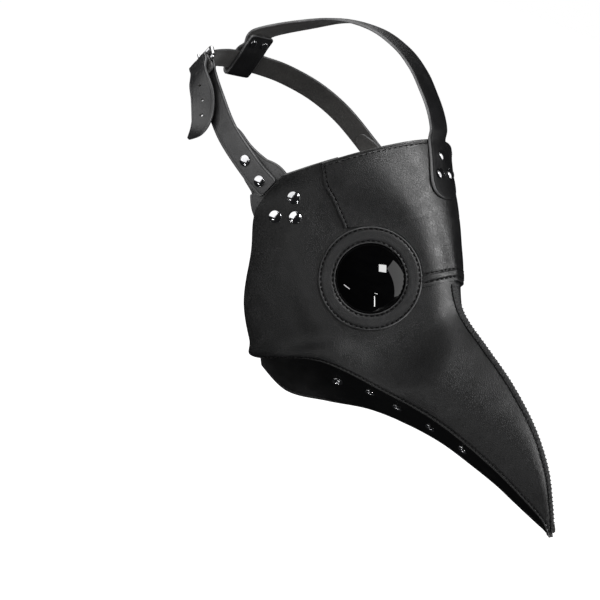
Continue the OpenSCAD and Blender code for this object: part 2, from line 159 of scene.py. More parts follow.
def eye_polar(p):
    """Distance from the eye axis and height over the eye plane."""
    w = p - EYE_C
    h = w @ EYE_N
    return np.linalg.norm(w - h[..., None] * EYE_N, axis=-1), h


def skin(u, v):
    """Point of the skin: u down the middle line, v outwards from it."""
    u, v = np.broadcast_arrays(np.asarray(u, float), np.asarray(v, float))
    top, rim = cr(RIDGE, u), cr(EDGE, u)
    a, b = np.radians(cr(RIDGE_ANGLE, u))[..., None], np.radians(cr(EDGE_ANGLE, u))[..., None]
    w = rim - top
    length = np.linalg.norm(w, axis=-1, keepdims=True)
    q = unit(w * [0, 1, 1])
    left = np.array([-1.0, 0, 0])
    c1 = top + (left * np.sin(a) + q * np.cos(a)) * cr(FORE, u)[..., None] * length
    c2 = rim - (left * np.sin(b) + q * np.cos(b)) * 0.38 * length
    v = v[..., None]
    m = 1 - v
    p = top * m**3 + c1 * 3 * v * m**2 + c2 * 3 * v**2 * m + rim * v**3
    r, h = eye_polar(p)
    down = (p - EYE_C) @ CHEEK_D / np.maximum(r, 1)
    out = FLAT_OUT + np.where(down > 0, CHEEK_FADE, TEMPLE_FADE) * down**2
    s = smooth((out - r) / (out - FLAT_IN))
    return p - EYE_N * (h * s)[..., None]


def normal_of(surface, u, v, u_low=0.0):
    """Outward normal of a surface(u, v)."""
    u, v = np.broadcast_arrays(np.asarray(u, float), np.asarray(v, float))
    u0, u1 = around(u, NORMAL_STEP, u_low)
    v0, v1 = around(v, NORMAL_STEP)
    return unit(np.cross(surface(u, v1) - surface(u, v0), surface(u1, v) - surface(u0, v)))


def skin_n(u, v):
    return normal_of(skin, u, v)


def off(u, v, o):
    """Point at height o over the skin."""
    return skin(u, v) + skin_n(u, v) * np.asarray(o, float)[..., None]


def rate_u(surface, u, v):
    """Millimetres that the surface runs per unit of u."""
    u0, u1 = around(u, RATE_STEP)
    return np.linalg.norm(surface(u1, v) - surface(u0, v), axis=-1) / (u1 - u0)


def rate_v(surface, u, v):
    """Millimetres that the surface runs per unit of v."""
    v0, v1 = around(v, RATE_STEP)
    return np.linalg.norm(surface(u, v1) - surface(u, v0), axis=-1) / (v1 - v0)


def mirrored(p):
    return np.asarray(p) * np.array([-1.0, 1, 1])


def placed(side, *arrays):
    """The points or directions on their own side: they are made for the right-hand one."""
    return [mirrored(a) if side == "left" else a for a in arrays]


def right_side(p):
    """Keeps points just on the right-hand side of the middle plane."""
    p = p.copy()
    p[..., 0] = np.minimum(p[..., 0], -0.02)
    return p


def ripple(p):
    """Slight unevenness of hand-pulled leather."""
    x, y, z = p[..., 0], p[..., 1], p[..., 2]
    return (0.10 * np.sin(0.21 * y + 0.13 * z + 0.6) * np.sin(0.17 * x - 0.11 * y)
            + 0.06 * np.sin(0.33 * z - 0.19 * y + 0.4 * np.sin(0.2 * x)))


def groove(d, at, depth=0.28, width=0.55):
    """Sunk line at distance `at` from an edge."""
    return -depth * np.exp(-(((d - at) / width) ** 2))


# ---------------------------------------------------------------- mesh building

GRAIN_KIND, FLESH_KIND, CUT_KIND = 0, 1, 2


def to_object(name, verts, faces, materials, kinds=None, flip=False):
    """Mesh object from points in millimetres, without stray points: kinds pick each face's material,
    and flip makes the left-hand piece from a right-hand one."""
    verts = np.asarray(verts, float)
    if flip:
        verts, faces = mirrored(verts), [f[::-1] for f in faces]
    used = np.unique(np.concatenate([np.ravel(f) for f in faces]))
    remap = np.full(len(verts), -1)
    remap[used] = np.arange(len(used))
    mesh = bpy.data.meshes.new(name)
    mesh.from_pydata((verts[used] * MM).tolist(), [], [remap[f].tolist() for f in faces])
    for m in materials:
        mesh.materials.append(m)
    if kinds is not None:
        mesh.polygons.foreach_set("material_index", np.asarray(kinds, np.int32))
    mesh.polygons.foreach_set("use_smooth", np.ones(len(mesh.polygons), bool))
    mesh.validate()
    mesh.update()
    obj = bpy.data.objects.new(name, mesh)
    bpy.context.scene.collection.objects.link(obj)
    return obj


def finish_piece(obj, body, slot, *nodes):
    """Rides on a body, takes a finish slot and stands for CAD nodes."""
    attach(obj, body)
    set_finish(obj, slot)
    if nodes:
        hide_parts(*nodes)


def taken(obj):
    """Removes an object and gives its points in millimetres and its faces."""
    mesh = obj.data
    verts = [[x / MM for x in v.co] for v in mesh.vertices]
    faces = [list(f.vertices) for f in mesh.polygons]
    bpy.data.objects.remove(obj)
    bpy.data.meshes.remove(mesh)
    return verts, faces


def joined(parts):
    """One list of points and one of faces from several pairs of both."""
    verts, faces = [], []
    for part_verts, part_faces in parts:
        faces += [[len(verts) + i for i in f] for f in part_faces]
        verts += list(part_verts)
    return verts, faces


def round_edges(obj):
    """Rounds the sharp edges of a sheet, in the material of its cut edge."""
    mod = obj.modifiers.new("Rounded edge", "BEVEL")
    mod.width = EDGE_ROUND * MM
    mod.segments = 2
    mod.limit_method = "ANGLE"
    mod.angle_limit = math.radians(50)
    # The rounded faces take the cut edge's light grey, which is partly a painted highlight.
    mod.material = CUT_KIND
    mod.harden_normals = True


def sheet_object(name, outer, inner, materials, keep=None, flip=False):
    """Closed sheet between two grids of points: grain outside, flesh inside, cut edge round the rim."""
    rows, cols = outer.shape[:2]
    k = np.arange(rows * cols).reshape(rows, cols)
    cells = np.stack([k[:-1, :-1], k[:-1, 1:], k[1:, 1:], k[1:, :-1]], -1).reshape(-1, 4)
    if keep is not None:
        cells = cells[keep.reshape(-1)[cells].any(axis=1)]
    n = rows * cols
    directed = np.concatenate([cells[:, [i, (i + 1) % 4]] for i in range(4)])
    codes = directed[:, 0] * n + directed[:, 1]
    rim = directed[~np.isin(codes, directed[:, 1] * n + directed[:, 0])]
    walls = np.stack([rim[:, 1], rim[:, 0], rim[:, 0] + n, rim[:, 1] + n], -1)
    faces = np.concatenate([cells, cells[:, ::-1] + n, walls])
    kinds = np.repeat([GRAIN_KIND, FLESH_KIND, CUT_KIND], [len(cells), len(cells), len(walls)])
    verts = np.concatenate([outer.reshape(-1, 3), inner.reshape(-1, 3)])
    obj = to_object(name, verts, faces, materials, kinds, flip)
    round_edges(obj)
    return obj


def tube_mesh(stations, radii, axes_n, sides):
    """Tubes along many paths at once: stations (count, points, 3), radii (points,) or (count, points)."""
    count, pts = stations.shape[:2]
    tangent = unit(np.gradient(stations, axis=1))
    nrm = unit(axes_n - tangent * (axes_n * tangent).sum(-1, keepdims=True))
    flat = np.cross(tangent, nrm)
    radii = np.broadcast_to(radii, (count, pts))[:, :, None, None]
    a = np.arange(sides) * 2 * math.pi / sides
    way = np.cos(a)[:, None] * flat[:, :, None] + np.sin(a)[:, None] * nrm[:, :, None]
    ring = stations[:, :, None] + radii * way
    j = np.arange(sides)
    base = np.arange(count) * pts * sides
    quads = []
    for i in range(pts - 1):
        quad = np.stack([i * sides + j, i * sides + (j + 1) % sides,
                         (i + 1) * sides + (j + 1) % sides, (i + 1) * sides + j], -1)
        quads += (quad[None] + base[:, None, None]).reshape(-1, 4).tolist()
    caps = [(b + j[::-1]).tolist() for b in base]
    caps += [(b + (pts - 1) * sides + j).tolist() for b in base]
    return ring.reshape(-1, 3), quads + caps


def arc_length(path):
    """Distance along a path at each of its points."""
    return np.concatenate([[0], np.cumsum(np.linalg.norm(np.diff(path, axis=0), axis=1))])


def at_length(path, values, s):
    """Values given along a dense path, read at distances s."""
    run = arc_length(path)
    return np.stack([np.interp(s, run, column) for column in values.T], -1)


def stitch_row(path, normals, pitch, radius):
    """Stations of a row of thread stitches, each sinking into its holes, and the normals there."""
    total = arc_length(path)[-1]
    count = max(int(total / pitch), 1)
    middle = (np.arange(count) + 0.5) * total / count + rng.normal(0, 0.02 * pitch, count)
    half = 0.5 * STITCH_FILL * pitch * (1 + rng.normal(0, 0.04, count))
    steps = np.array([-1, -0.86, -0.5, 0, 0.5, 0.86, 1])
    s = np.clip(middle[:, None] + half[:, None] * steps, 0, total)
    p = at_length(path, path, s)
    n = unit(at_length(path, normals, s))
    height = STITCH_LIFT + radius * np.array([-1.5, -0.5, 0.35, 0.6, 0.35, -0.5, -1.5])
    flat = np.cross(unit(np.gradient(p, axis=1)), n)
    skew = rng.normal(0, 0.05, count)[:, None] * steps * half[:, None]
    return p + n * height[:, None] + flat * skew[..., None], n


def stitches(name, rows, pitch, material, slot, radius=THREAD_R):
    """One object with every stitch of several rows, each row a (path, normals) pair."""
    stations, normals = zip(*[stitch_row(p, n, pitch, radius) for p, n in rows])
    radii = radius * np.array([0.5, 0.85, 1, 1.04, 1, 0.85, 0.5])
    verts, faces = tube_mesh(np.concatenate(stations), radii, np.concatenate(normals), 6)
    finish_piece(to_object(name, verts, faces, [material]), "mask", slot)


def lathe(name, profile, centre, axis, materials, segments, kinds=None):
    """Closed profile of (radius, height) turned about an axis through centre."""
    profile = np.asarray(profile, float)
    n = len(profile)
    z = unit(axis)
    x = unit(np.cross([0.02, 0.03, 1.0], z))
    y = np.cross(z, x)
    a = np.arange(segments) * 2 * math.pi / segments
    radial = np.cos(a)[:, None] * x + np.sin(a)[:, None] * y
    verts = np.asarray(centre) + radial[:, None] * profile[None, :, :1] + z * profile[None, :, 1:2]
    on_axis = profile[:, 0] < 1e-6
    faces, face_kinds = [], []
    for i in range(n):
        k = (i + 1) % n
        if on_axis[i] and on_axis[k]:
            continue
        for j in range(segments):
            m = (j + 1) % segments
            face = [j * n + i, m * n + i, m * n + k, j * n + k]
            if on_axis[i]:
                face = [i, m * n + k, j * n + k]
            if on_axis[k]:
                face = [j * n + i, m * n + i, k]
            faces.append(face[::-1])
            face_kinds.append(kinds[i] if kinds else 0)
    return to_object(name, verts.reshape(-1, 3), faces, materials, face_kinds)


def post(centre, axis, long_way, radius, half, stretch):
    """Points and faces of a round-ended post: stretch is how far its ends move apart."""
    sides = 24
    z = unit(axis)
    x = unit(np.asarray(long_way) - z * (np.asarray(long_way) @ z))
    y = np.cross(z, x)
    a = np.arange(sides) * 2 * math.pi / sides
    shift = stretch * np.sign(np.cos(a) + 1e-9)
    ring = centre + (np.cos(a) * radius + shift)[:, None] * x + (np.sin(a) * radius)[:, None] * y
    faces = [[i, (i + 1) % sides, sides + (i + 1) % sides, sides + i] for i in range(sides)]
    faces += [list(range(sides))[::-1], list(range(sides, 2 * sides))]
    return [*(ring - z * half), *(ring + z * half)], faces


def cut_holes(obj, spots, radius, half, material, stretch=0.0):
    """Cuts posts out of a mesh: spots are (centre, axis, long direction)."""
    cutter = to_object("cutter", *joined([post(*spot, radius, half, stretch) for spot in spots]), [material])
    waiting = list(obj.modifiers)
    for m in waiting:
        m.show_viewport = False
    mod = obj.modifiers.new("Cut", "BOOLEAN")
    mod.operation = "DIFFERENCE"
    mod.solver = "EXACT"
    mod.object = cutter
    bpy.context.view_layer.update()
    graph = bpy.context.evaluated_depsgraph_get()
    mesh = bpy.data.meshes.new_from_object(obj.evaluated_get(graph), depsgraph=graph)
    mesh.name = obj.name
    old = obj.data
    obj.modifiers.remove(mod)
    obj.data = mesh
    bpy.data.meshes.remove(old)
    bpy.data.objects.remove(cutter)
    for m in waiting:
        m.show_viewport = True


# ---------------------------------------------------------------- materials


class Shader:
    """A new node material with small helpers for its nodes."""

    def __init__(self, name):
        self.material = bpy.data.materials.new(name)
        self.material.use_nodes = True
        self.tree = self.material.node_tree
        self.bsdf = self.tree.nodes["Principled BSDF"]
        self.coords = self.node("ShaderNodeTexCoord", {})["Object"]

    def plug(self, source, target):
        """Sets an input to a value or links it to an output."""
        if isinstance(source, (int, float, tuple)):
            target.default_value = source
        else:
            self.tree.links.new(source, target)

    def node(self, kind, inputs, **settings):
        """The outputs of a new node, with its settings and its inputs filled."""
        n = self.tree.nodes.new(kind)
        for key, value in settings.items():
            setattr(n, key, value)
        for key, value in inputs.items():
            self.plug(value, n.inputs[key])
        return n.outputs

    def set(self, **inputs):
        """Fills the shader's own inputs; an underscore stands for the space in a name."""
        for key, value in inputs.items():
            self.plug(value, self.bsdf.inputs[key.replace("_", " ")])

    def noise(self, scale, detail=3.0, roughness=0.5, distortion=0.0, coords=None):
        inputs = {"Vector": coords or self.coords, "Scale": scale, "Detail": detail, "Roughness": roughness,
                  "Distortion": distortion}
        return self.node("ShaderNodeTexNoise", inputs)["Fac"]

    def cells(self, scale, coords, feature="DISTANCE_TO_EDGE"):
        inputs = {"Vector": coords, "Scale": scale}
        return self.node("ShaderNodeTexVoronoi", inputs, feature=feature)["Distance"]

    def warped(self, scale, amount):
        """Coordinates pushed about by noise, so that cells lose their straight sides."""
        push = self.node("ShaderNodeTexNoise", {"Vector": self.coords, "Scale": scale})["Color"]
        inputs = {0: push, 1: (amount, amount, amount), 2: self.coords}
        return self.node("ShaderNodeVectorMath", inputs, operation="MULTIPLY_ADD")[0]

    def stretched(self, factors):
        return self.node("ShaderNodeMapping", {"Vector": self.coords, "Scale": factors})[0]

    def remap(self, value, low, high, out_low, out_high):
        inputs = {"Value": value, "From Min": low, "From Max": high, "To Min": out_low, "To Max": out_high}
        return self.node("ShaderNodeMapRange", inputs, interpolation_type="SMOOTHSTEP")["Result"]

    def maths(self, operation, a, b):
        return self.node("ShaderNodeMath", {0: a, 1: b}, operation=operation)[0]

    def mix(self, factor, a, b):
        a, b = ((*c, 1) if isinstance(c, tuple) else c for c in (a, b))
        return self.node("ShaderNodeMix", {"Factor": factor, "A": a, "B": b}, data_type="RGBA")["Result"]

    def bump(self, height, distance, strength, below=None):
        inputs = {"Height": height, "Distance": distance * MM, "Strength": strength}
        if below is not None:
            inputs["Normal"] = below
        return self.node("ShaderNodeBump", inputs)["Normal"]


def leather(name, dark, light, rough, grain=1050.0, scuff=0.25):
    """Finished leather: pebbled grain, pores, drifting tone, and drier, greyer scuffs."""
    s = Shader(name)
    pebbles = s.remap(s.cells(grain, coords=s.warped(grain * 0.6, 0.0005)), 0.0, 0.22, 0.0, 1.0)
    pores = s.noise(grain * 4.2, detail=2.0)
    creases = s.remap(s.noise(75.0, detail=4.0, roughness=0.6, distortion=1.4), 0.42, 0.5, 0.0, 1.0)
    drift = s.noise(22.0)
    worn = s.remap(s.noise(48.0, detail=6.0, roughness=0.62), 0.55, 0.72, 0.0, scuff)
    base = s.mix(s.remap(drift, 0.3, 0.7, 0.0, 1.0), dark, light)
    tone = s.mix(worn, base, tuple(2.6 * c + 0.012 for c in light))
    deep = s.mix(s.remap(pebbles, 0.0, 1.0, 0.55, 0.0), tone, tuple(0.4 * c for c in dark))
    uneven = s.remap(s.noise(130.0, detail=4.0), 0.25, 0.75, rough - 0.05, rough + 0.07)
    height = s.maths("ADD", pebbles, s.maths("MULTIPLY", pores, 0.45))
    s.set(Base_Color=deep, Roughness=s.maths("ADD", uneven, s.maths("MULTIPLY", worn, 0.35)),
          Normal=s.bump(height, 0.05, 0.8, below=s.bump(creases, 0.05, 0.25)))
    return s.material


def flesh_side(name, dark, light):
    """Napped inner side of the leather: loose fibres, no gloss."""
    s = Shader(name)
    nap = s.noise(900.0, detail=6.0, roughness=0.7, coords=s.stretched((1.0, 1.0, 0.45)))
    blotch = s.noise(35.0, detail=4.0)
    s.set(Base_Color=s.mix(s.maths("MULTIPLY", nap, s.remap(blotch, 0.3, 0.7, 0.6, 1.3)), dark, light),
          Roughness=s.remap(blotch, 0.2, 0.8, 0.86, 0.97), Normal=s.bump(nap, 0.16, 0.9),
          Sheen_Weight=0.25, Sheen_Roughness=0.5, Specular_IOR_Level=0.25)
    return s.material


def cut_edge_painted_highlight(name, dark, light, rough):
    """Dyed and rubbed cut edge, with its fibre layers; its light grey is partly a painted highlight for light
    caught along the edge.
    """
    s = Shader(name)
    fibres = s.noise(1500.0, detail=4.0, roughness=0.65)
    rub = s.noise(60.0, detail=4.0)
    s.set(Base_Color=s.mix(s.maths("MULTIPLY", fibres, s.remap(rub, 0.3, 0.7, 0.4, 1.5)), dark, light),
          Roughness=s.remap(rub, 0.3, 0.7, rough - 0.07, rough + 0.1), Normal=s.bump(fibres, 0.05, 0.7))
    return s.material


def rough_welt(name):
    """Turned raw seam under the overcast thread."""
    s = Shader(name)
    lumps = s.noise(700.0, detail=6.0, roughness=0.72)
    pits = s.cells(900.0, feature="F1", coords=s.warped(800.0, 0.0006))
    s.set(Base_Color=s.mix(s.remap(lumps, 0.45, 0.72, 0.0, 1.0), (0.004, 0.004, 0.0045), (0.06, 0.06, 0.062)),
          Roughness=s.remap(lumps, 0.3, 0.7, 0.5, 0.8), Normal=s.bump(s.maths("ADD", lumps, pits), 0.35, 0.9))
    return s.material


def waxed_thread(name, dark, light, shine):
    """Twisted waxed thread."""
    s = Shader(name)
    twist = s.node("ShaderNodeTexWave", {"Vector": s.coords, "Scale": 900.0, "Distortion": 1.5},
                   wave_type="BANDS", bands_direction="DIAGONAL")["Fac"]
    fuzz = s.noise(2600.0)
    s.set(Base_Color=s.mix(s.maths("MULTIPLY", twist, fuzz), dark, light), Normal=s.bump(twist, 0.05, 0.8),
          Roughness=s.remap(fuzz, 0.3, 0.7, 0.42, 0.6), Specular_IOR_Level=shine)
    return s.material


def nickel(name, rough):
    """Polished plate with hairline scratches and a breath of tarnish."""
    s = Shader(name)
    hairs = s.noise(500.0, detail=5.0, roughness=0.7, coords=s.stretched((1.0, 7.0, 1.0)))
    cloud = s.noise(160.0)
    dull = s.maths("ADD", s.remap(cloud, 0.3, 0.8, rough, rough + 0.08), s.remap(hairs, 0.55, 0.8, 0.0, 0.12))
    s.set(Base_Color=s.mix(s.remap(cloud, 0.4, 0.75, 0.0, 1.0), (0.80, 0.80, 0.815), (0.55, 0.55, 0.565)),
          Metallic=1.0, Roughness=dull, Normal=s.bump(hairs, 0.008, 0.3))
    return s.material


def smoked_lens(name):
    """Black acrylic dome with faint wiping marks."""
    s = Shader(name)
    wipe = s.noise(90.0, detail=5.0, roughness=0.65, coords=s.stretched((1.0, 1.0, 2.6)))
    dust = s.remap(s.noise(2200.0, detail=2.0), 0.7, 0.8, 0.0, 0.16)
    tint = s.mix(s.remap(wipe, 0.3, 0.8, 0.0, 1.0), (0.0014, 0.0014, 0.0016), (0.0035, 0.0035, 0.0038))
    s.set(Base_Color=tint, Roughness=s.maths("ADD", s.remap(wipe, 0.35, 0.75, 0.012, 0.05), dust),
          Normal=s.bump(wipe, 0.01, 0.15), IOR=1.49, Coat_Weight=0.35, Coat_Roughness=0.02)
    return s.material


GRAIN = leather("Panel leather", (0.004, 0.004, 0.0043), (0.008, 0.008, 0.0085), 0.38)
RING_GRAIN = leather("Eye ring leather", (0.007, 0.007, 0.0074), (0.014, 0.014, 0.0148), 0.38, 1300.0)
STRAP_GRAIN = leather("Strap leather", (0.010, 0.010, 0.0107), (0.020, 0.020, 0.0212), 0.40, 1200.0)
FLESH = flesh_side("Flesh side", (0.012, 0.0115, 0.011), (0.060, 0.057, 0.054))
STRAP_FLESH = flesh_side("Strap flesh side", (0.016, 0.0155, 0.015), (0.075, 0.072, 0.069))
# The light grey of the cut edges is partly painted highlight: it stands in for light caught along the edges,
# on top of their own dyed colour.
PAINTED_LIT_CUT = cut_edge_painted_highlight("Cut edge, painted highlight", (0.012, 0.012, 0.0125), (0.16, 0.16, 0.162), 0.42)
PAINTED_LIT_STRAP_CUT = cut_edge_painted_highlight("Strap cut edge, painted highlight", (0.02, 0.02, 0.021), (0.20, 0.20, 0.203), 0.36)
WELT = rough_welt("Raw seam")
BLACK_THREAD = waxed_thread("Black waxed thread", (0.0008, 0.0008, 0.0008), (0.003, 0.003, 0.0031), 0.15)
GREY_THREAD = waxed_thread("Grey waxed thread", (0.012, 0.012, 0.0125), (0.09, 0.09, 0.092), 0.4)
NICKEL = nickel("Nickel plate", 0.07)
BUCKLE_METAL = nickel("Buckle nickel", 0.12)
LENS = smoked_lens("Smoked lens")
LINING = leather("Lining leather", (0.012, 0.0115, 0.011), (0.022, 0.0212, 0.0205), 0.62, 900.0, 0.1)
PANEL_MATERIALS = [GRAIN, FLESH, PAINTED_LIT_CUT]


# ---------------------------------------------------------------- panels


def side_v(u):
    """Where the side panel starts beside the middle line, under the brow panel."""
    return np.interp(u, [0, 0.06, 0.11, 0.15, 0.19, 0.27, 0.315, 1], [0.69, 0.6, 0.49, 0.3, 0.19, 0.14, 0, 0])


HEM_U = 0.335
SEAM_FROM_U = 0.405
# The side panel's round hole ends unevenly, so it stops here under the eye ring.
HIDDEN_R = 23.6
RING_CLEAR = 0.35
TOP_ROW = 2.2
SIDE_ROW = 1.8
HEM_ROWS = (2.4, 7.3)
SEAM_IN = 1.5
KEEL_ROW = 1.5
FINE_STEP = 0.45
GRID_STEP = 1.3


def brow_v(t):
    """Outer seam of the brow panel."""
    return cr([0.785, 0.715, 0.64, 0.6, 0.565, 0.53, 0.48, 0.42], t)


def side_panel(side):
    """Side panel with its sunk stitch line along the beak's lower edge."""
    u = np.linspace(0, 1, 281)[:, None]
    near = np.array([7, 4.5, 3.2, 2.5, 2.0, SEAM_IN, 1.0, 0.5, 0.0])
    edge_rate = rate_v(skin, u, np.ones_like(u))
    v_near = 1 - near / edge_rate
    start = side_v(u)
    v_far = start + (v_near[:, :1] - start) * np.linspace(0, 1, 52)[:-1]
    v = np.concatenate([v_far, v_near], 1)
    uu = np.broadcast_to(u, v.shape)
    p, n = skin(uu, v), skin_n(uu, v)
    r, _ = eye_polar(p)
    under_brow = (uu < HEM_U) & (v < side_v(uu) + 0.1)
    uneven = np.where(under_brow, 0, ripple(p) * smooth((r - RING_R) / 12))
    seam = groove((1 - v) * edge_rate, SEAM_IN) * smooth((uu - SEAM_FROM_U) / 0.02)
    outer = right_side(p + n * (uneven + np.where(under_brow, 0, seam))[..., None])
    inner = right_side(p + n * (uneven - LEATHER_T)[..., None])
    obj = sheet_object(f"side_panel_{side}_skin", outer, inner, PANEL_MATERIALS, r > HIDDEN_R, side == "left")
    finish_piece(obj, "mask", "leather", f"side_panel_{side}")


def brow_limit(t):
    """Outer v of the brow panel at t: its seam, or the rim of the eye ring where that comes first."""
    limit = brow_v(t)
    v = limit[:, None] * np.linspace(0, 1, 500)
    r, h = eye_polar(skin((t * HEM_U)[:, None], v))
    rim_r = RING_R + RING_CLEAR
    inside = (r < rim_r) & (np.abs(h) < 14)
    hit = inside.any(axis=1)
    rows = np.arange(len(t))
    first = np.argmax(inside, axis=1)
    before = np.maximum(first - 1, 0)
    r1, r0 = r[rows, first], r[rows, before]
    f = np.where(hit, (r0 - rim_r) / np.maximum(r0 - r1, 1e-6), 0)
    return np.where(hit, v[rows, before] * (1 - f) + v[rows, first] * f, limit), hit


def graded(length, fine):
    """Places from 0 to 1 along a length, close together in the first and last `fine` mm."""
    ends = np.arange(0, fine, FINE_STEP)
    middle = np.linspace(fine, length - fine, int((length - 2 * fine) / GRID_STEP) + 1)
    return np.concatenate([ends, middle, (length - ends)[::-1]]) / length


def brow_panel():
    """Brow panel with sewn top edge, side seams and a two-row hem over the nose."""
    t = graded(76, 9.5)
    half = graded(150, 4.5)
    half = 1 - half[: len(half) // 2] * 2
    limit, ringed = brow_limit(t)
    tt, ss = np.meshgrid(t, np.concatenate([half, [0.0], -half[::-1]]), indexing="ij")
    v = np.abs(ss) * limit[:, None]
    u = tt * HEM_U
    p, n = skin(u, v), skin_n(u, v)
    ru, rv = rate_u(skin, u, v), rate_v(skin, u, v)
    d_top, d_hem, d_side = u * ru, (HEM_U - u) * ru, (limit[:, None] - v) * rv
    low, high = HEM_ROWS
    r, _ = eye_polar(p)
    calm = smooth((r - RING_R - 1) / 12) * smooth(d_top / 6)
    band = 0.35 * smooth((d_hem - low) / 1.2) * smooth((high - d_hem) / 1.2)
    side_groove = np.where(ringed[:, None], 0.0, groove(d_side, SIDE_ROW))
    hem = groove(d_hem, low) + groove(d_hem, high) + band
    height = ripple(p) * calm + groove(d_top, TOP_ROW) + hem + side_groove
    outer = p + n * (PLY_GAP + LEATHER_T + height)[..., None]
    inner = p + n * PLY_GAP
    flip = (ss < 0)[..., None]
    outer, inner = (np.where(flip, mirrored(q), q)[:, ::-1] for q in (outer, inner))
    obj = sheet_object("brow_panel_skin", outer, inner, PANEL_MATERIALS)
    finish_piece(obj, "mask", "leather", "brow_panel")


def belly(u, t):
    """Under panel from the side panel's edge to the keel."""
    u, t = np.broadcast_arrays(np.asarray(u, float), np.asarray(t, float))
    b = off(u, np.ones_like(u), -(LEATHER_T + PLY_GAP))
    k = cr(KEEL, (u * 12 - 5) / 7)
    w = k - b
    sag = np.stack([w[..., 0] * 0.15, 0 * w[..., 0], -0.1 * np.linalg.norm(w, axis=-1)], -1)
    t = t[..., None]
    return b * (1 - t) ** 2 + ((b + k) / 2 + sag) * 2 * t * (1 - t) + k * t**2


U_REAR = 0.425
U_FRONT = 0.985
WELT_U = 0.345
WELT_RUN = 0.65
OVERCAST_PITCH = 2.5
VENTS = [[0.517, 0.35], [0.557, 0.27], [0.593, 0.33], [0.645, 0.45], [0.697, 0.4]]


def belly_n(u, t):
    return normal_of(belly, u, t, U_REAR)


def under_panel(side):
    """Under panel with its hidden sewing flange, sunk keel stitching and vent holes."""
    u = (U_REAR + (U_FRONT - U_REAR) * np.linspace(0, 1, 170))[:, None]
    flange_v = np.linspace(0.88, 0.985, 4)[None]
    fn = skin_n(u, flange_v)
    fp = skin(u, flange_v) - fn * (LEATHER_T + PLY_GAP)
    near = np.array([3.4, 2.7, 2.2, 1.75, 1.3, 0.8, 0.4, 0.0])
    keel_rate = rate_v(belly, u, np.ones_like(u))
    t_near = np.maximum(1 - near / keel_rate, 0.5 + 0.04 * np.arange(8))
    t = np.concatenate([t_near[:, :1] * np.linspace(0, 1, 22)[:-1], t_near], 1)
    bp, bn = belly(u, t), belly_n(u, t)
    bn[:, 0] = unit(skin_n(u, np.ones_like(u))[:, 0] + bn[:, 0])
    seam = groove((1 - t) * keel_rate, KEEL_ROW, 0.2) * smooth(keel_rate / 12)
    height = seam + ripple(bp) * 0.5 * smooth((1 - t) * 4) * smooth(t * 6)
    outer = right_side(np.concatenate([fp, bp + bn * height[..., None]], 1))
    inner = right_side(np.concatenate([fp - fn * LEATHER_T, bp - bn * LEATHER_T], 1))
    obj = sheet_object(f"under_panel_{side}_skin", outer, inner, PANEL_MATERIALS, flip=side == "left")
    spots = [(*placed(side, belly(*vent), belly_n(*vent)), [0, 0, 1]) for vent in VENTS]
    cut_holes(obj, spots, EYELET_BORE_R + 0.6, 5, FLESH)
    finish_piece(obj, "mask", "leather", f"under_panel_{side}")


def welt_points(u, k, o):
    """Points and normals of the welt: k from 1 to -1 across it, o its height over the skin."""
    half = cr([3, 2.6, 2.1, 1.8, 1.6, 1.5, 1.4], (u - WELT_U) / WELT_RUN)
    length = np.linalg.norm(cr(EDGE, u) - cr(RIDGE, u), axis=-1)
    v = np.abs(k) * half / (3 * cr(FORE, u) * length * np.sin(np.radians(cr(RIDGE_ANGLE, u))))
    n = skin_n(u, v)
    n_mid = unit(skin_n(u, 0 * u) * [0, 1, 1])
    flat = smooth(1 - np.abs(k) / 0.35)[..., None]
    n = unit(n * (1 - flat) + n_mid * flat)
    p = skin(u, v) + n * o[..., None]
    return [np.where((k < 0)[..., None], mirrored(q), q) for q in (p, n)]


def ridge_welt():
    """Raw seam welt, lumpy along its length."""
    u = WELT_U + WELT_RUN * np.linspace(0, 1, 340)
    uu, kk = np.meshgrid(u, np.linspace(1, -1, 15), indexing="ij")
    lump = 0.12 * np.sin(uu * 700 + 3 * kk) * np.sin(uu * 431 + 1.3) + 0.08 * np.sin(uu * 1130 - 4 * kk)
    crown = 0.9 + 0.6 * (1 - np.abs(kk) ** 1.5)
    outer, _ = welt_points(uu, kk, crown + lump * (1 - kk**4) - 0.12)
    inner, _ = welt_points(uu, kk, np.full_like(uu, 0.15))
    obj = sheet_object("ridge_welt_skin", outer, inner, [WELT] * 3)
    finish_piece(obj, "mask", "leather", "ridge_welt")


def overcast_thread():
    """Thread laid over the welt in slanting turns, each end sunk beside it."""
    dense = np.linspace(0.347, 0.99, 400)
    run = arc_length(skin(dense, 0 * dense))
    centres = np.interp(np.arange(1.0, run[-1], OVERCAST_PITCH), run, dense)
    slant = 0.55 / rate_u(skin, centres, 0 * centres)
    reach = 1.12
    k = np.linspace(reach, -reach, 11)
    uu = centres[:, None] + slant[:, None] * k
    kk = np.broadcast_to(k, uu.shape)
    height = 0.95 + 0.62 * (1 - np.abs(kk / reach) ** 2.2)
    height = np.where(np.abs(kk) > 0.85, 0.75, height)
    height = np.where(np.abs(kk) > 1.1, 0.1, height)
    p, n = welt_points(uu, kk, height)
    verts, faces = tube_mesh(p, np.full(11, 0.3), n, 6)
    finish_piece(to_object("ridge_overcast_thread", verts, faces, [GREY_THREAD]), "mask", "leather")


# ---------------------------------------------------------------- eye pieces


def rounded_profile(corners, radius=0.35):
    """Closed outline of (radius, height) points with its corners rounded."""
    pts = np.asarray(corners, float)
    out = []
    for i, c in enumerate(pts):
        a, b = pts[i - 1], pts[(i + 1) % len(pts)]
        r = min(radius, 0.45 * np.linalg.norm(a - c), 0.45 * np.linalg.norm(b - c))
        start, end = c + unit(a - c) * r, c + unit(b - c) * r
        out += [(1 - f) ** 2 * start + 2 * f * (1 - f) * c + f * f * end for f in np.linspace(0, 1, 4)]
    return out


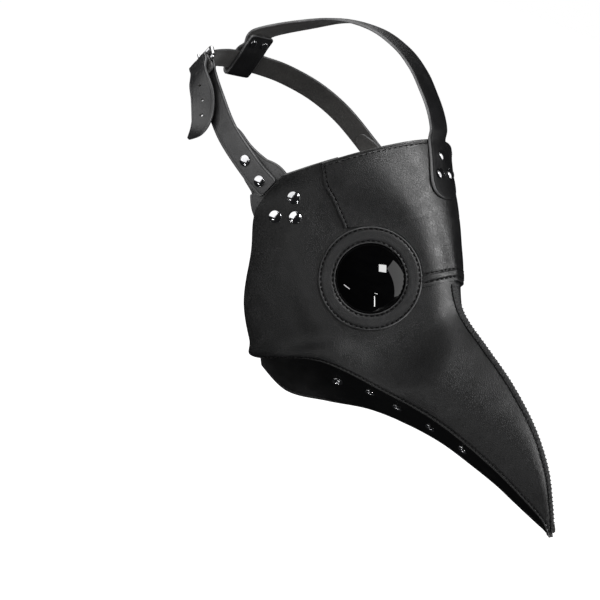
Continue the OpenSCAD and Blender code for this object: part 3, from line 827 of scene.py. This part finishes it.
def circle_row(side, radius, height, facing=1):
    """Stitch row round the eye at a height over the eye plane, facing out (1) or to the head (-1)."""
    a = np.linspace(0, 2 * math.pi, 361)
    path = EYE_C + radius * (np.cos(a)[:, None] * EYE_X + np.sin(a)[:, None] * EYE_Y) + EYE_N * height
    return placed(side, path, np.broadcast_to(EYE_N * facing, path.shape))


RING_ROWS = (22.75, 30.1)
# Heights are over the outer face of the side panel, along the eye's axis.
FLANGE_Z = -LEATHER_T - 0.15
RETAINER_BORE_R = 23
RETAINER_R = 30.3
RETAINER_T = 3
RETAINER_ROW = 29.0


def eye_ring(side):
    """Sewn leather ring with two sunk stitch lines and a softly crowned face."""
    inner_row, outer_row = RING_ROWS
    r = np.concatenate([np.arange(RING_BORE_R + 0.45, 24.4, 0.25), np.linspace(24.6, 28.4, 8),
                        np.arange(28.6, RING_R - 0.4, 0.25)])
    crown = 0.18 * smooth((r - inner_row) / 2) * smooth((outer_row - r) / 2)
    top = LEATHER_T - 0.12 + crown + groove(r, inner_row, 0.3, 0.5) + groove(r, outer_row, 0.3, 0.5)
    inner_edge = [(RING_BORE_R + 0.02, 0.3), (RING_BORE_R, 0.9), (RING_BORE_R + 0.08, 1.4)]
    outer_edge = [(RING_R - 0.1, 1.35), (RING_R, 0.9), (RING_R - 0.05, 0.25)]
    back = [(RING_R - 0.3, 0), (RING_BORE_R + 0.3, 0)]
    profile = np.array(inner_edge + list(zip(r, top)) + outer_edge + back) + [0, PLY_GAP]
    kinds = [CUT_KIND] * 3 + [GRAIN_KIND] * (len(r) - 1) + [CUT_KIND] * 4 + [FLESH_KIND, CUT_KIND]
    materials = [RING_GRAIN, FLESH, PAINTED_LIT_CUT]
    obj = lathe(f"eye_ring_{side}_skin", profile, *placed(side, EYE_C, EYE_N), materials, 176, kinds)
    finish_piece(obj, "mask", "leather", f"eye_ring_{side}")
    rows = [circle_row(side, radius, PLY_GAP + LEATHER_T - 0.3) for radius in RING_ROWS]
    stitches(f"eye_ring_{side}_stitches", rows, 3.2, BLACK_THREAD, "leather")


def lens(side):
    """Domed lens: a flange behind the side panel, a straight wall through the ring and the dome."""
    base = FLANGE_Z - 1.2
    foot = base + WALL_H
    big_r = (DOME_R**2 + DOME_H**2) / (2 * DOME_H)
    middle = foot + DOME_H - big_r
    reach = math.asin((DOME_R - 0.35) / big_r)
    outer = [(big_r * math.sin(a), middle + big_r * math.cos(a)) for a in np.linspace(0, reach, 40)]
    wall = [(DOME_R - 0.1, foot - 0.05), (DOME_R, foot - 0.5), (DOME_R, FLANGE_Z + 0.5),
            (DOME_R + 0.15, FLANGE_Z + 0.12)]
    flange = [(DOME_R + 0.5, FLANGE_Z), (FLANGE_R - 0.3, FLANGE_Z), (FLANGE_R, FLANGE_Z - 0.25),
              (FLANGE_R, base + 0.25), (FLANGE_R - 0.3, base), (DOME_R - LENS_T + 0.2, base),
              (DOME_R - LENS_T, base + 0.2)]
    in_r = big_r - LENS_T
    in_reach = math.asin((DOME_R - LENS_T) / in_r)
    inner = [(in_r * math.sin(a), middle + in_r * math.cos(a)) for a in np.linspace(in_reach, 0, 30)]
    obj = lathe(f"lens_{side}_dome", outer + wall + flange + inner, *placed(side, EYE_C, EYE_N), [LENS], 144)
    finish_piece(obj, "mask", "lens", f"lens_{side}")


def lens_retainer(side):
    """Leather ring sewn behind the lens flange, stepped to hold it."""
    bore, edge, pocket = RETAINER_BORE_R, RETAINER_R, FLANGE_R + 0.4
    back, step = FLANGE_Z - RETAINER_T, FLANGE_Z - 1.35
    corners = [(bore, back), (edge, back), (edge, FLANGE_Z), (pocket, FLANGE_Z), (pocket, step), (bore, step)]
    outline = rounded_profile(corners)[::-1]
    obj = lathe(f"lens_retainer_{side}_skin", outline, *placed(side, EYE_C, EYE_N), [LINING], 144)
    finish_piece(obj, "mask", "lining_leather", f"lens_retainer_{side}")
    row = circle_row(side, RETAINER_ROW, back + 0.05, -1)
    stitches(f"lens_retainer_{side}_stitches", [row], 3.2, BLACK_THREAD, "lining_leather")


# ---------------------------------------------------------------- head form, buckle frame and straps

HEAD_C = np.array([0, 128.5, 13.0])
HEAD_A = np.array([76, 98, 110.0])


def egg(p, o):
    """The point moved to height o over the head form."""
    d = np.asarray(p, float) - HEAD_C
    return HEAD_C + d / np.linalg.norm(d / (HEAD_A + o), axis=-1, keepdims=True)


def egg_n(p):
    return unit((np.asarray(p, float) - HEAD_C) / HEAD_A**2)


SIDE_PTS = np.array([[-76.1, 97.8, 20.1], [-78.5, 113.7, 27.7], [-77.1, 139.3, 41.1], [-69.5, 162.2, 55],
                     [-58.5, 181, 63.8]])
BK_O = egg([-50, 191, 67], 5.4)
BK_Z = egg_n(BK_O)
TOE = np.array([0.706, 0.69, 0.158])
BK_X = unit(TOE - BK_Z * (TOE @ BK_Z))
BK_Y = np.cross(BK_Z, BK_X)


def bk(x, z, y=0.0):
    """Point in the buckle's frame: x towards the toe bar, z out of the head."""
    return BK_O + BK_X * x + BK_Z * z + BK_Y * y


def across(path, i):
    return unit(np.cross(egg_n(path[i]), path[min(i + 1, len(path) - 1)] - path[max(i - 1, 0)]))


def strap_section(half):
    """Outline of a strap: x across, z through it, and the kind of each face between its points."""
    t = STRAP_T / 2
    k = min(1.0, half / 6.0)
    lips = np.array([0.55, 0.95, 1.25, 1.55, 1.85, 2.25, 2.9]) * k
    middle = np.array([-0.6, -0.2, 0.2, 0.6]) * (half - lips[-1])
    x_top = np.concatenate([lips - half, middle, (half - lips)[::-1]])
    d = half - np.abs(x_top)
    crease = 0.16 * k * np.exp(-(((d / k - 1.55) / 0.32) ** 2))
    z_top = t - 0.06 - crease + 0.06 * smooth(d / half)
    side = np.array([(0.18, t - 0.2), (0.02, t - 0.55), (0.0, -t + 0.6), (0.1, -t + 0.2), (0.4, -t)])
    x_side, z_side = half - side[:, 0] * k, side[:, 1]
    x = np.concatenate([x_top, x_side, np.array([0.5, 0.0, -0.5]) * half, -x_side[::-1]])
    z = np.concatenate([z_top, z_side, np.full(3, -t), z_side[::-1]])
    kinds = [GRAIN_KIND] * (len(x_top) - 1) + [CUT_KIND] * 5 + [FLESH_KIND] * 4 + [CUT_KIND] * 5
    return x, z, kinds


def corner_widths(s, total, width, start_r, end_r):
    """Width at distance s along a strap whose end corners are rounded."""
    for d, r in ((s, start_r), (total - s, end_r)):
        inset = np.where(d < r, r - np.sqrt(np.maximum(r**2 - (r - np.minimum(d, r)) ** 2, 0)), 0)
        width = width - 2 * inset
    return np.maximum(width, 0.8)


def strap_object(name, points, ways, widths, sag=0.0, start_r=2.0, end_r=2.0, step=1.1, turn=1, flip=False):
    """Strap swept along its mid-line: points, directions across, widths and sag as in part.scad.
    The grain side is cross(along, across) times turn."""
    dense = np.linspace(0, 1, 1500)
    run = arc_length(cr(points, dense))
    total = run[-1]
    ends = np.array([0, 0.1, 0.3, 0.6, 1.0, 1.6])
    s = np.unique(np.concatenate([ends, np.linspace(2.2, total - 2.2, int(total / step)), total - ends]))
    t = np.interp(s, run, dense)
    t0, t1 = around(t, RATE_STEP)
    along = unit(cr(points, t1) - cr(points, t0))
    w = cr(ways, t)
    x_axis = unit(w - along * (w * along).sum(-1, keepdims=True))
    n = np.cross(along, x_axis)
    half = corner_widths(s, total, cr(widths, t), start_r, end_r) / 2
    bend = cr(sag, t) if np.ndim(sag) else np.zeros(len(t))
    rings = []
    for i, p in enumerate(cr(points, t)):
        x, z, kinds = strap_section(half[i])
        rings.append(p + x[:, None] * x_axis[i] + (z * turn + bend[i] / 2 * x**2)[:, None] * n[i])
    rows, m = len(rings), len(x)
    k = np.arange(rows * m).reshape(rows, m)
    nxt = np.roll(k, -1, axis=1)
    faces = np.stack([k[:-1], nxt[:-1], nxt[1:], k[1:]], -1).reshape(-1, 4).tolist()
    faces += [k[0, ::-1].tolist(), k[-1].tolist()]
    kinds = kinds * (rows - 1) + [CUT_KIND] * 2
    if turn > 0:
        faces = [f[::-1] for f in faces]
    return to_object(name, np.concatenate(rings), faces, STRAP_MATERIALS, kinds, flip)


STRAP_MATERIALS = [STRAP_GRAIN, STRAP_FLESH, PAINTED_LIT_STRAP_CUT]

TAB_AT = np.array([[0.135, 0.72], [0.115, 0.8], [0.095, 0.9]])
TAB_EGG = [[-75, 99.5, 22], [-77, 111, 27.5], [-77.5, 124, 34], [-77, 136, 40], [-75.4, 147, 46]]
TAB_O = -LEATHER_T - PLY_GAP - STRAP_T / 2 - 0.2
TAB_P = np.concatenate([off(TAB_AT[:, 0], TAB_AT[:, 1], np.full(3, TAB_O)), egg(TAB_EGG, 0.8)])
TAB_W = np.array([unit(np.cross(skin_n(*TAB_AT[i]), TAB_P[i + 1] - TAB_P[max(i - 1, 0)])) if i < 3
                  else across(TAB_P, i) for i in range(len(TAB_P))])
TAB_SAG = [-0.014, -0.014, -0.014, -0.012, -0.01, -0.008, -0.006, 0]


def temple_tab(side):
    """Flared tab from under the side panel to the strap."""
    widths = [9, 25, 29, 27, 20, 15, 14, 8]
    obj = strap_object(f"temple_tab_{side}_skin", TAB_P, TAB_W, widths, TAB_SAG, 1.5, 2.5,
                       flip=side == "left")
    finish_piece(obj, "mask", "strap_leather", f"temple_tab_{side}")


LAY = 0.15 + STRAP_T + PLY_GAP + STRAP_T / 2
FOLD_R = BAR_R + 0.3 + STRAP_T / 2


def buckle_strap():
    """Strap from the temple up to the heel bar, round it and back over itself."""
    fold = [bk(FOLD_R * math.sin(a), -FOLD_R * math.cos(a)) for a in np.radians(np.arange(0, 181, 30))]
    path = np.concatenate([egg(SIDE_PTS, LAY), [bk(-8, -FOLD_R), bk(-3, -FOLD_R)], fold,
                           [bk(-3.5, FOLD_R - 0.6), bk(-6.5, 0.1), bk(-10, -0.35), bk(-14, -0.4)]])
    ways = [across(path, i) if i < len(SIDE_PTS) else BK_Y for i in range(len(path))]
    obj = strap_object("buckle_strap_skin", path, ways, [STRAP_W] * len(path), step=0.8)
    cut_holes(obj, [(bk(1, 0), BK_Z, BK_X)], 2.0, 6, STRAP_FLESH, stretch=2.5)
    finish_piece(obj, "mask", "strap_leather", "buckle_strap")


TAIL_P = np.array([bk(-3.35, 4.7), bk(-7, 4.4), [-68, 180.5, 64], [-74.5, 168, 55.5], [-79, 160, 44.5],
                   [-80.8, 159.3, 36], [-80, 164, 28.5]])
PUNCH_R = 0.9
TAIL_W = np.array([BK_Y, BK_Y, BK_Y, [-0.5, 0.62, -0.6], [-0.35, 0.75, -0.55], [-0.25, 0.9, -0.35],
                   [-0.2, 0.95, -0.2]])
HINGE = 0.5 * (bk(-3, 4.7) + TAIL_P[0])


def back_strap():
    """Back strap and its free end in one length, with the punched holes, its path turning through the buckle.
    """
    head = [[44, 198, 69], [30, 209, 71], [16, 217, 72.5], [2, 219.5, 73], [-13, 217.5, 72]]
    worn = np.concatenate([egg(mirrored(SIDE_PTS), LAY), egg(head, LAY)])
    through = [bk(BUCKLE_L + 3, -3.3), bk(BUCKLE_L - 1, -3.1), bk(BUCKLE_L - 5.5, -1.4), bk(6, 2.4),
               bk(3, 4.4), bk(0, 4.75)]
    path = np.concatenate([worn, through, [HINGE], TAIL_P[1:]])
    ways = np.array([across(path, i) for i in range(len(worn))] + [-BK_Y] * len(through))
    widths = [STRAP_W] * (len(path) - 3) + [STRAP_W - 1, 9.5, 2]
    obj = strap_object("back_strap_skin", path, np.concatenate([ways, -TAIL_W]), widths, end_r=0.5, step=0.9)
    spots = []
    for t in (0.3, 0.42, 0.54, 0.66):
        along = unit(cr(TAIL_P, t + 0.01) - cr(TAIL_P, t - 0.01))
        spots.append((cr(TAIL_P, t), np.cross(along, unit(cr(TAIL_W, t))), along))
    cut_holes(obj, spots, PUNCH_R, 3, STRAP_FLESH)
    cut_holes(obj, [(bk(6, 2), BK_Z, BK_X)], 1.45, 6, STRAP_FLESH, stretch=4.0)
    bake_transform(obj)
    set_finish(obj, "strap_leather")
    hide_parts("back_strap", "strap_tail")


FOOT_U = [0.136, 0.133, 0.127, 0.117, 0.1, 0.08, 0.055, 0.03, 0.005]
FOOT_W = [0.2, 0.5, 0.74, 0.92, 1, 0.95, 0.85, 0.77]
FOOT_O = 2 * PLY_GAP + LEATHER_T + STRAP_T / 2
LOOP_O = egg([16, 217, 72.6], 0)
LOOP_N = egg_n(LOOP_O)
LOOP_X = unit(np.cross(LOOP_N, [0, 0, 1]))
LOOP_Z = -np.cross(LOOP_X, LOOP_N)


def lp(w, n):
    """Point in the loop's frame: w down the head, n out of it."""
    return LOOP_O - LOOP_Z * w + LOOP_N * n


def crown_strap():
    """Crown strap: foot on the brow, over the head, and a loop round the back strap."""
    foot = off(np.array(FOOT_U), np.zeros(len(FOOT_U)), FOOT_O)
    over = [[0.4, 43.6, 83], [2, 51, 92], [4, 61.5, 101], [8, 76, 110.5], [12, 95, 118.5], [15, 120, 123],
            [17, 148, 120], [18, 176, 108]]
    over_edge = [lp(-8.6 - 2.4 * math.sin(a), 2.9 + 2.7 * math.cos(a))
                 for a in np.radians(np.arange(30, 151, 30))]
    outside = [lp(26, 2.9), lp(15, 2.9), lp(10, 4.8), lp(6, 5.6), lp(-5, 5.6)]
    inside = [lp(-5, 0.2), lp(8, 0.3), lp(15, 0.9), lp(24, 0.9)]
    path = np.concatenate([foot, over, outside, over_edge, inside])
    free = len(over) - 1
    loop = len(path) - len(foot) - free
    ways = [[1, 0, 0]] * (len(foot) + free) + [LOOP_X * np.sign(LOOP_X[0])] * loop
    widths = [CROWN_FOOT_W * w for w in FOOT_W] + [CROWN_W] * (len(path) - len(FOOT_W))
    sag = [0.022] * len(foot) + [0.013] * free + [0] * loop
    obj = strap_object("crown_strap_skin", path, ways, widths, sag, 0.4, turn=-1)
    finish_piece(obj, "mask", "strap_leather", "crown_strap")


# ---------------------------------------------------------------- metal


def dome_profile(r, g):
    """Rivet from its domed cap to its back washer: z = 0 is the outer face of a stack g deep."""
    ball = r * 1.9
    sag = ball - math.sqrt(ball**2 - r**2)
    a = np.linspace(0, math.asin((r - 0.35) / ball), 14)
    cap = [(ball * math.sin(x), 0.55 + sag - ball + ball * math.cos(x)) for x in a]
    rim = [(r - 0.12, 0.72), (r, 0.48), (r - 0.05, 0.2), (r - 0.3, 0.05)]
    shank = [(SHANK_R + 0.2, 0.05), (SHANK_R, -0.1), (SHANK_R, -g + 0.1), (SHANK_R + 0.2, -g - 0.05)]
    w = r * 0.75
    washer = [(w - 0.2, -g - 0.05), (w, -g - 0.25), (w, -g - 0.65), (w - 0.3, -g - 0.9),
              (w * 0.45, -g - 0.84)]
    return cap + rim + shank + washer + [(0.0, -g - 0.6)]


def rivets(node, spots, r, g):
    """Every rivet of a CAD node: spots are (point on the outer face, outward direction)."""
    name = f"{node}_caps"
    parts = [taken(lathe(name, dome_profile(r, g), *spot, [NICKEL], 56)) for spot in spots]
    finish_piece(to_object(name, *joined(parts), [NICKEL]), "mask", "chrome", node)


TEMPLE_AT = [[0.079, 0.82], [0.112, 0.89], [0.124, 0.797]]
STRAP_RIVETS_AT = [[-78.7, 118.8, 30.6], [-77.5, 104.6, 22.5]]


def all_rivets():
    """Rivets of both temples, both strap ends, the crown strap's foot and its loop."""
    two_straps = 2 * STRAP_T + PLY_GAP
    on_tabs = egg(STRAP_RIVETS_AT, LAY)
    for side, strap in (("right", "buckle_strap"), ("left", "back_strap")):
        spots = [placed(side, skin(*q), skin_n(*q)) for q in TEMPLE_AT]
        rivets(f"temple_rivets_{side}", spots, RIVET_R, LEATHER_T + PLY_GAP + STRAP_T + 0.25)
        spots = [placed(side, q + egg_n(q) * STRAP_T / 2, egg_n(q)) for q in on_tabs]
        rivets(f"{strap}_rivets", spots, RIVET_R * 0.9, two_straps)
    spots = []
    for u, x in ([0.045, 0], [0.083, 5.6], [0.083, -5.6]):
        spots.append((off(u, 0.0, FOOT_O + STRAP_T / 2) + [x, 0, 0], skin_n(u, 0.0)))
    rivets("forehead_rivets", spots, RIVET_R * 0.85, 2 * LEATHER_T + PLY_GAP)
    spots = [(lp(18, 2.9 + STRAP_T / 2) + LOOP_X * x, LOOP_N) for x in (-4.5, 4.5)]
    rivets("crown_loop_rivets", spots, RIVET_R * 0.85, two_straps)


def vent_eyelets(side):
    """Rolled eyelets round the vents."""
    name = f"vent_eyelets_{side}_rolled"
    r, tube_r, end = EYELET_BORE_R, EYELET_BORE_R + 0.55, -2.75
    roll = [(r + 0.9 - 0.9 * math.cos(a), 0.25 + 0.62 * math.sin(a)) for a in np.linspace(0, math.pi, 11)]
    rim = [(EYELET_R - 0.08, 0.42), (EYELET_R, 0.26), (EYELET_R - 0.1, 0.12)]
    profile = [(r, end)] + roll + rim + [(tube_r, 0.12), (tube_r, end)]
    parts = [taken(lathe(name, profile, belly(*vent), belly_n(*vent), [NICKEL], 48)) for vent in VENTS]
    obj = to_object(name, *joined(parts), [NICKEL], flip=side == "left")
    finish_piece(obj, "mask", "chrome", f"vent_eyelets_{side}")


def buckle_frame():
    """Wire buckle with rounded corners."""
    corner = 1.6
    toe, side = BUCKLE_L - corner, STRAP_W / 2 + 2.2 - corner
    path = []
    for cx, cy, start in ((toe, side, 0), (corner, side, 90), (corner, -side, 180), (toe, -side, 270)):
        for a in np.radians(start + np.arange(0, 91, 15)):
            path.append((cx + corner * math.cos(a), cy + corner * math.sin(a)))
    path = np.array(path + path[:1])
    s = np.linspace(0, arc_length(path)[-1], 121)[:-1]
    loop = np.array([bk(x, 0, y) for x, y in at_length(path, path, s)])
    out = np.cross(unit(np.roll(loop, -1, 0) - np.roll(loop, 1, 0)), BK_Z)
    sides = 20
    a = np.arange(sides) * 2 * math.pi / sides
    ring = loop[:, None] + BAR_R * (np.cos(a)[:, None] * out[:, None] + np.sin(a)[:, None] * BK_Z)
    k = np.arange(len(loop) * sides).reshape(-1, sides)
    ahead = np.roll(k, -1, 0)
    faces = np.stack([k, np.roll(k, -1, 1), np.roll(ahead, -1, 1), ahead], -1).reshape(-1, 4)
    obj = to_object("buckle_frame_wire", ring.reshape(-1, 3), faces, [BUCKLE_METAL])
    finish_piece(obj, "buckle", "chrome", "buckle_frame")


def buckle_prong():
    """Prong: a slightly tapered shaft with a round tip, and its eye on the heel bar."""
    eye_r = BAR_R + RUN_C
    slope = math.tan(math.radians(2.1))
    t = np.linspace(0, 1, 30)
    shaft = np.array([bk(x, eye_r + 0.45 + x * slope) for x in (BUCKLE_L + 1.9) * t])
    tip = np.sqrt(np.clip(1 - ((t - 0.94) / 0.062) ** 2, 0.02, 1))
    radii = 0.95 * np.where(t < 0.94, 1, tip) * (1 - 0.12 * t)
    rod = tube_mesh(shaft[None], radii[None], np.broadcast_to(BK_Z, shaft.shape)[None], 16)
    outline = rounded_profile([(eye_r, -1.3), (eye_r + 1, -1.3), (eye_r + 1, 1.3), (eye_r, 1.3)], 0.3)
    eye = taken(lathe("prong_eye", outline, BK_O, BK_Y, [BUCKLE_METAL], 48))
    obj = to_object("buckle_prong_wire", *joined([rod, eye]), [BUCKLE_METAL])
    finish_piece(obj, "prong", "chrome", "buckle_prong")


# ---------------------------------------------------------------- seams


def seam_path(u, v, o):
    """Path over the skin at height o, with its normals."""
    return off(u, v, o), skin_n(u, v)


def both_sides(row):
    """A stitch row and its mirror image."""
    return [row, placed("left", *row)]


def brow_seams():
    """Stitch rows along the top, the sides and the hem of the brow panel."""
    top = PLY_GAP + LEATHER_T - 0.26
    v = np.linspace(-0.77, 0.77, 500)
    u = TOP_ROW / rate_u(skin, 0 * v + 0.001, np.abs(v))
    row = [np.where((v > 0)[:, None], q, mirrored(q)) for q in seam_path(u, np.abs(v), top)]
    stitches("brow_top_stitches", [row], 3.7, BLACK_THREAD, "leather")
    t = np.linspace(0.03, 1, 500)
    _, ringed = brow_limit(t)
    t = t[~ringed & (t < 0.62)]
    u, v = t * HEM_U, brow_v(t)
    v = v - SIDE_ROW / rate_v(skin, u, v)
    stitches("brow_side_stitches", both_sides(seam_path(u, v, top)), 3.0, BLACK_THREAD, "leather")
    rows = []
    for d in HEM_ROWS:
        v = np.linspace(0.012, 0.3, 400)
        u = HEM_U - d / rate_u(skin, np.full_like(v, HEM_U - 0.01), v)
        limit, _ = brow_limit(u / HEM_U)
        inside = v < limit - 1.0 / rate_v(skin, u, v)
        rows += both_sides(seam_path(u[inside], v[inside], top))
    stitches("brow_hem_stitches", rows, 3.2, BLACK_THREAD, "leather")


def lower_seams():
    """Stitch rows along the beak's lower edge and the keel."""
    u = np.linspace(0.43, U_FRONT, 900)
    v = 1 - SEAM_IN / rate_v(skin, u, 0 * u + 1)
    stitches("lower_edge_stitches", both_sides(seam_path(u, v, -0.22)), 2.7, BLACK_THREAD, "leather", THIN_R)
    u = np.linspace(U_REAR + 0.004, 0.93, 900)
    t = 1 - KEEL_ROW / rate_v(belly, u, 0 * u + 1)
    n = belly_n(u, t)
    stitches("keel_stitches", both_sides((belly(u, t) - n * 0.12, n)), 2.7, GREY_THREAD, "leather", THIN_R)


# ---------------------------------------------------------------- stage

FLOOR_REACH = 6000.0
FLOOR_Z = -420.0


def camera():
    """Camera at the photograph's angle: a head turned 54 degrees and bowed 22."""
    turn, bow = math.radians(54), math.radians(22)
    back = np.array([-math.sin(turn), -math.cos(turn) * math.cos(bow), math.cos(turn) * math.sin(bow)])
    right = np.array([math.cos(turn), -math.sin(turn) * math.cos(bow), math.sin(turn) * math.sin(bow)])
    up = np.array([0, math.sin(bow), math.cos(bow)])
    aim = right * -0.0945 + up * -0.011 + np.array([0, -0.0025, 0])
    place = aim + back * 1.5
    data = bpy.data.cameras.new("Camera")
    data.sensor_width = 36
    data.lens = 147.6
    data.clip_start = 0.05
    data.clip_end = 60
    cam = bpy.data.objects.new("Camera", data)
    cam.matrix_world = Matrix([*zip(right, up, back, place), (0, 0, 0, 1)])
    bpy.context.scene.collection.objects.link(cam)
    bpy.context.scene.camera = cam


def pieces_with(name, *slots):
    """Collection of the pieces that take their finish from these slots."""
    group = bpy.data.collections.new(name)
    for obj in list(bpy.context.scene.collection.objects):
        if obj.get("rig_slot") in slots:
            group.objects.link(obj)
    return group


def softbox(name, azimuth, elevation, distance, width, height, radiance, only=None, lean=0.0):
    """Rectangular soft light facing the mask, placed by its direction from it and leaning sideways."""
    a, e = math.radians(azimuth), math.radians(elevation)
    way = Vector((math.sin(a) * math.cos(e), -math.cos(a) * math.cos(e), math.sin(e)))
    data = bpy.data.lights.new(name, "AREA")
    data.shape = "RECTANGLE"
    data.size = width
    data.size_y = height
    data.energy = radiance * math.pi * width * height
    light = bpy.data.objects.new(name, data)
    target = Vector((-0.02, 0.02, -0.01))
    light.location = target + way * distance
    light.rotation_mode = "QUATERNION"
    light.rotation_quaternion = way.to_track_quat("Z", "Y") @ Quaternion((0, 0, 1), math.radians(lean))
    light.visible_camera = False
    if only is not None:
        light.light_linking.receiver_collection = only
    bpy.context.scene.collection.objects.link(light)


def lights():
    """Key box and front wall for all, and cards flagged off the lens, as a studio would."""
    panels = pieces_with("Panel pieces", "leather", "lining_leather")
    straps = pieces_with("Strap pieces", "strap_leather")
    metals = pieces_with("Metal pieces", "chrome")
    softbox("Key", -27, 41, 1.3, 0.40, 0.38, 14.0)
    softbox("Front wall", 20, 20, 1.7, 1.0, 2.2, 1.25, lean=21)
    softbox("Low strip", -25, -37, 0.5, 0.014, 0.24, 22.0, lean=29)
    softbox("Low bar", -30, -18, 0.7, 0.09, 0.014, 16.0)
    softbox("Low back", -102, -24, 0.6, 0.16, 0.016, 14.0, lean=-19)
    softbox("Brow card", 15, 36, 1.2, 0.26, 0.3, 34.0, panels)
    softbox("Side card", -78, -2, 0.48, 0.36, 0.2, 1.4, panels)
    softbox("High side card", -96, 42, 0.9, 0.6, 0.5, 0.5, panels)
    softbox("Top card", -40, 76, 1.1, 0.5, 0.5, 1.2, panels)
    softbox("Strap card", -110, 22, 1.0, 1.6, 1.2, 2.4, straps)
    softbox("Rivet card", -122, 22, 1.2, 1.9, 1.4, 1.3, metals)
    softbox("Back fill", 150, 35, 1.8, 1.4, 1.0, 1.6)


def world():
    """White surroundings to look at, dim ones to be lit by."""
    scene_world = bpy.data.worlds.new("Studio")
    bpy.context.scene.world = scene_world
    scene_world.use_nodes = True
    tree = scene_world.node_tree
    tree.nodes.clear()
    path = tree.nodes.new("ShaderNodeLightPath")
    mix = tree.nodes.new("ShaderNodeMixShader")
    out = tree.nodes.new("ShaderNodeOutputWorld")
    tree.links.new(path.outputs["Is Camera Ray"], mix.inputs[0])
    for slot, color, strength in ((1, (0.92, 0.95, 1, 1), 0.012), (2, (1, 1, 1, 1), 1.0)):
        background = tree.nodes.new("ShaderNodeBackground")
        background.inputs["Color"].default_value = color
        background.inputs["Strength"].default_value = strength
        tree.links.new(background.outputs[0], mix.inputs[slot])
    tree.links.new(mix.outputs[0], out.inputs[0])


def floor():
    """Plain pale floor well below the mask, which a head would hold up."""
    s = Shader("Floor")
    s.set(Base_Color=s.mix(s.noise(3.0), (0.86, 0.86, 0.86), (0.9, 0.9, 0.9)), Roughness=0.8,
          Emission_Color=(1, 1, 1, 1), Emission_Strength=1.0)
    n = 8
    x = np.linspace(-FLOOR_REACH, FLOOR_REACH, n)
    xx, yy = np.meshgrid(x, x, indexing="ij")
    verts = np.stack([xx, yy, np.full_like(xx, FLOOR_Z)], -1).reshape(-1, 3)
    k = np.arange(n * n).reshape(n, n)
    faces = np.stack([k[:-1, :-1], k[1:, :-1], k[1:, 1:], k[:-1, 1:]], -1).reshape(-1, 4)
    obj = to_object("studio_floor", verts, faces, [s.material])
    obj.visible_diffuse = False
    obj.visible_glossy = False


for name in ("right", "left"):
    side_panel(name)
    under_panel(name)
    eye_ring(name)
    lens(name)
    lens_retainer(name)
    temple_tab(name)
    vent_eyelets(name)
brow_panel()
ridge_welt()
overcast_thread()
brow_seams()
lower_seams()
buckle_strap()
back_strap()
crown_strap()
all_rivets()
buckle_frame()
buckle_prong()
camera()
lights()
world()
floor()
bpy.context.scene.view_settings.view_transform = "Standard"
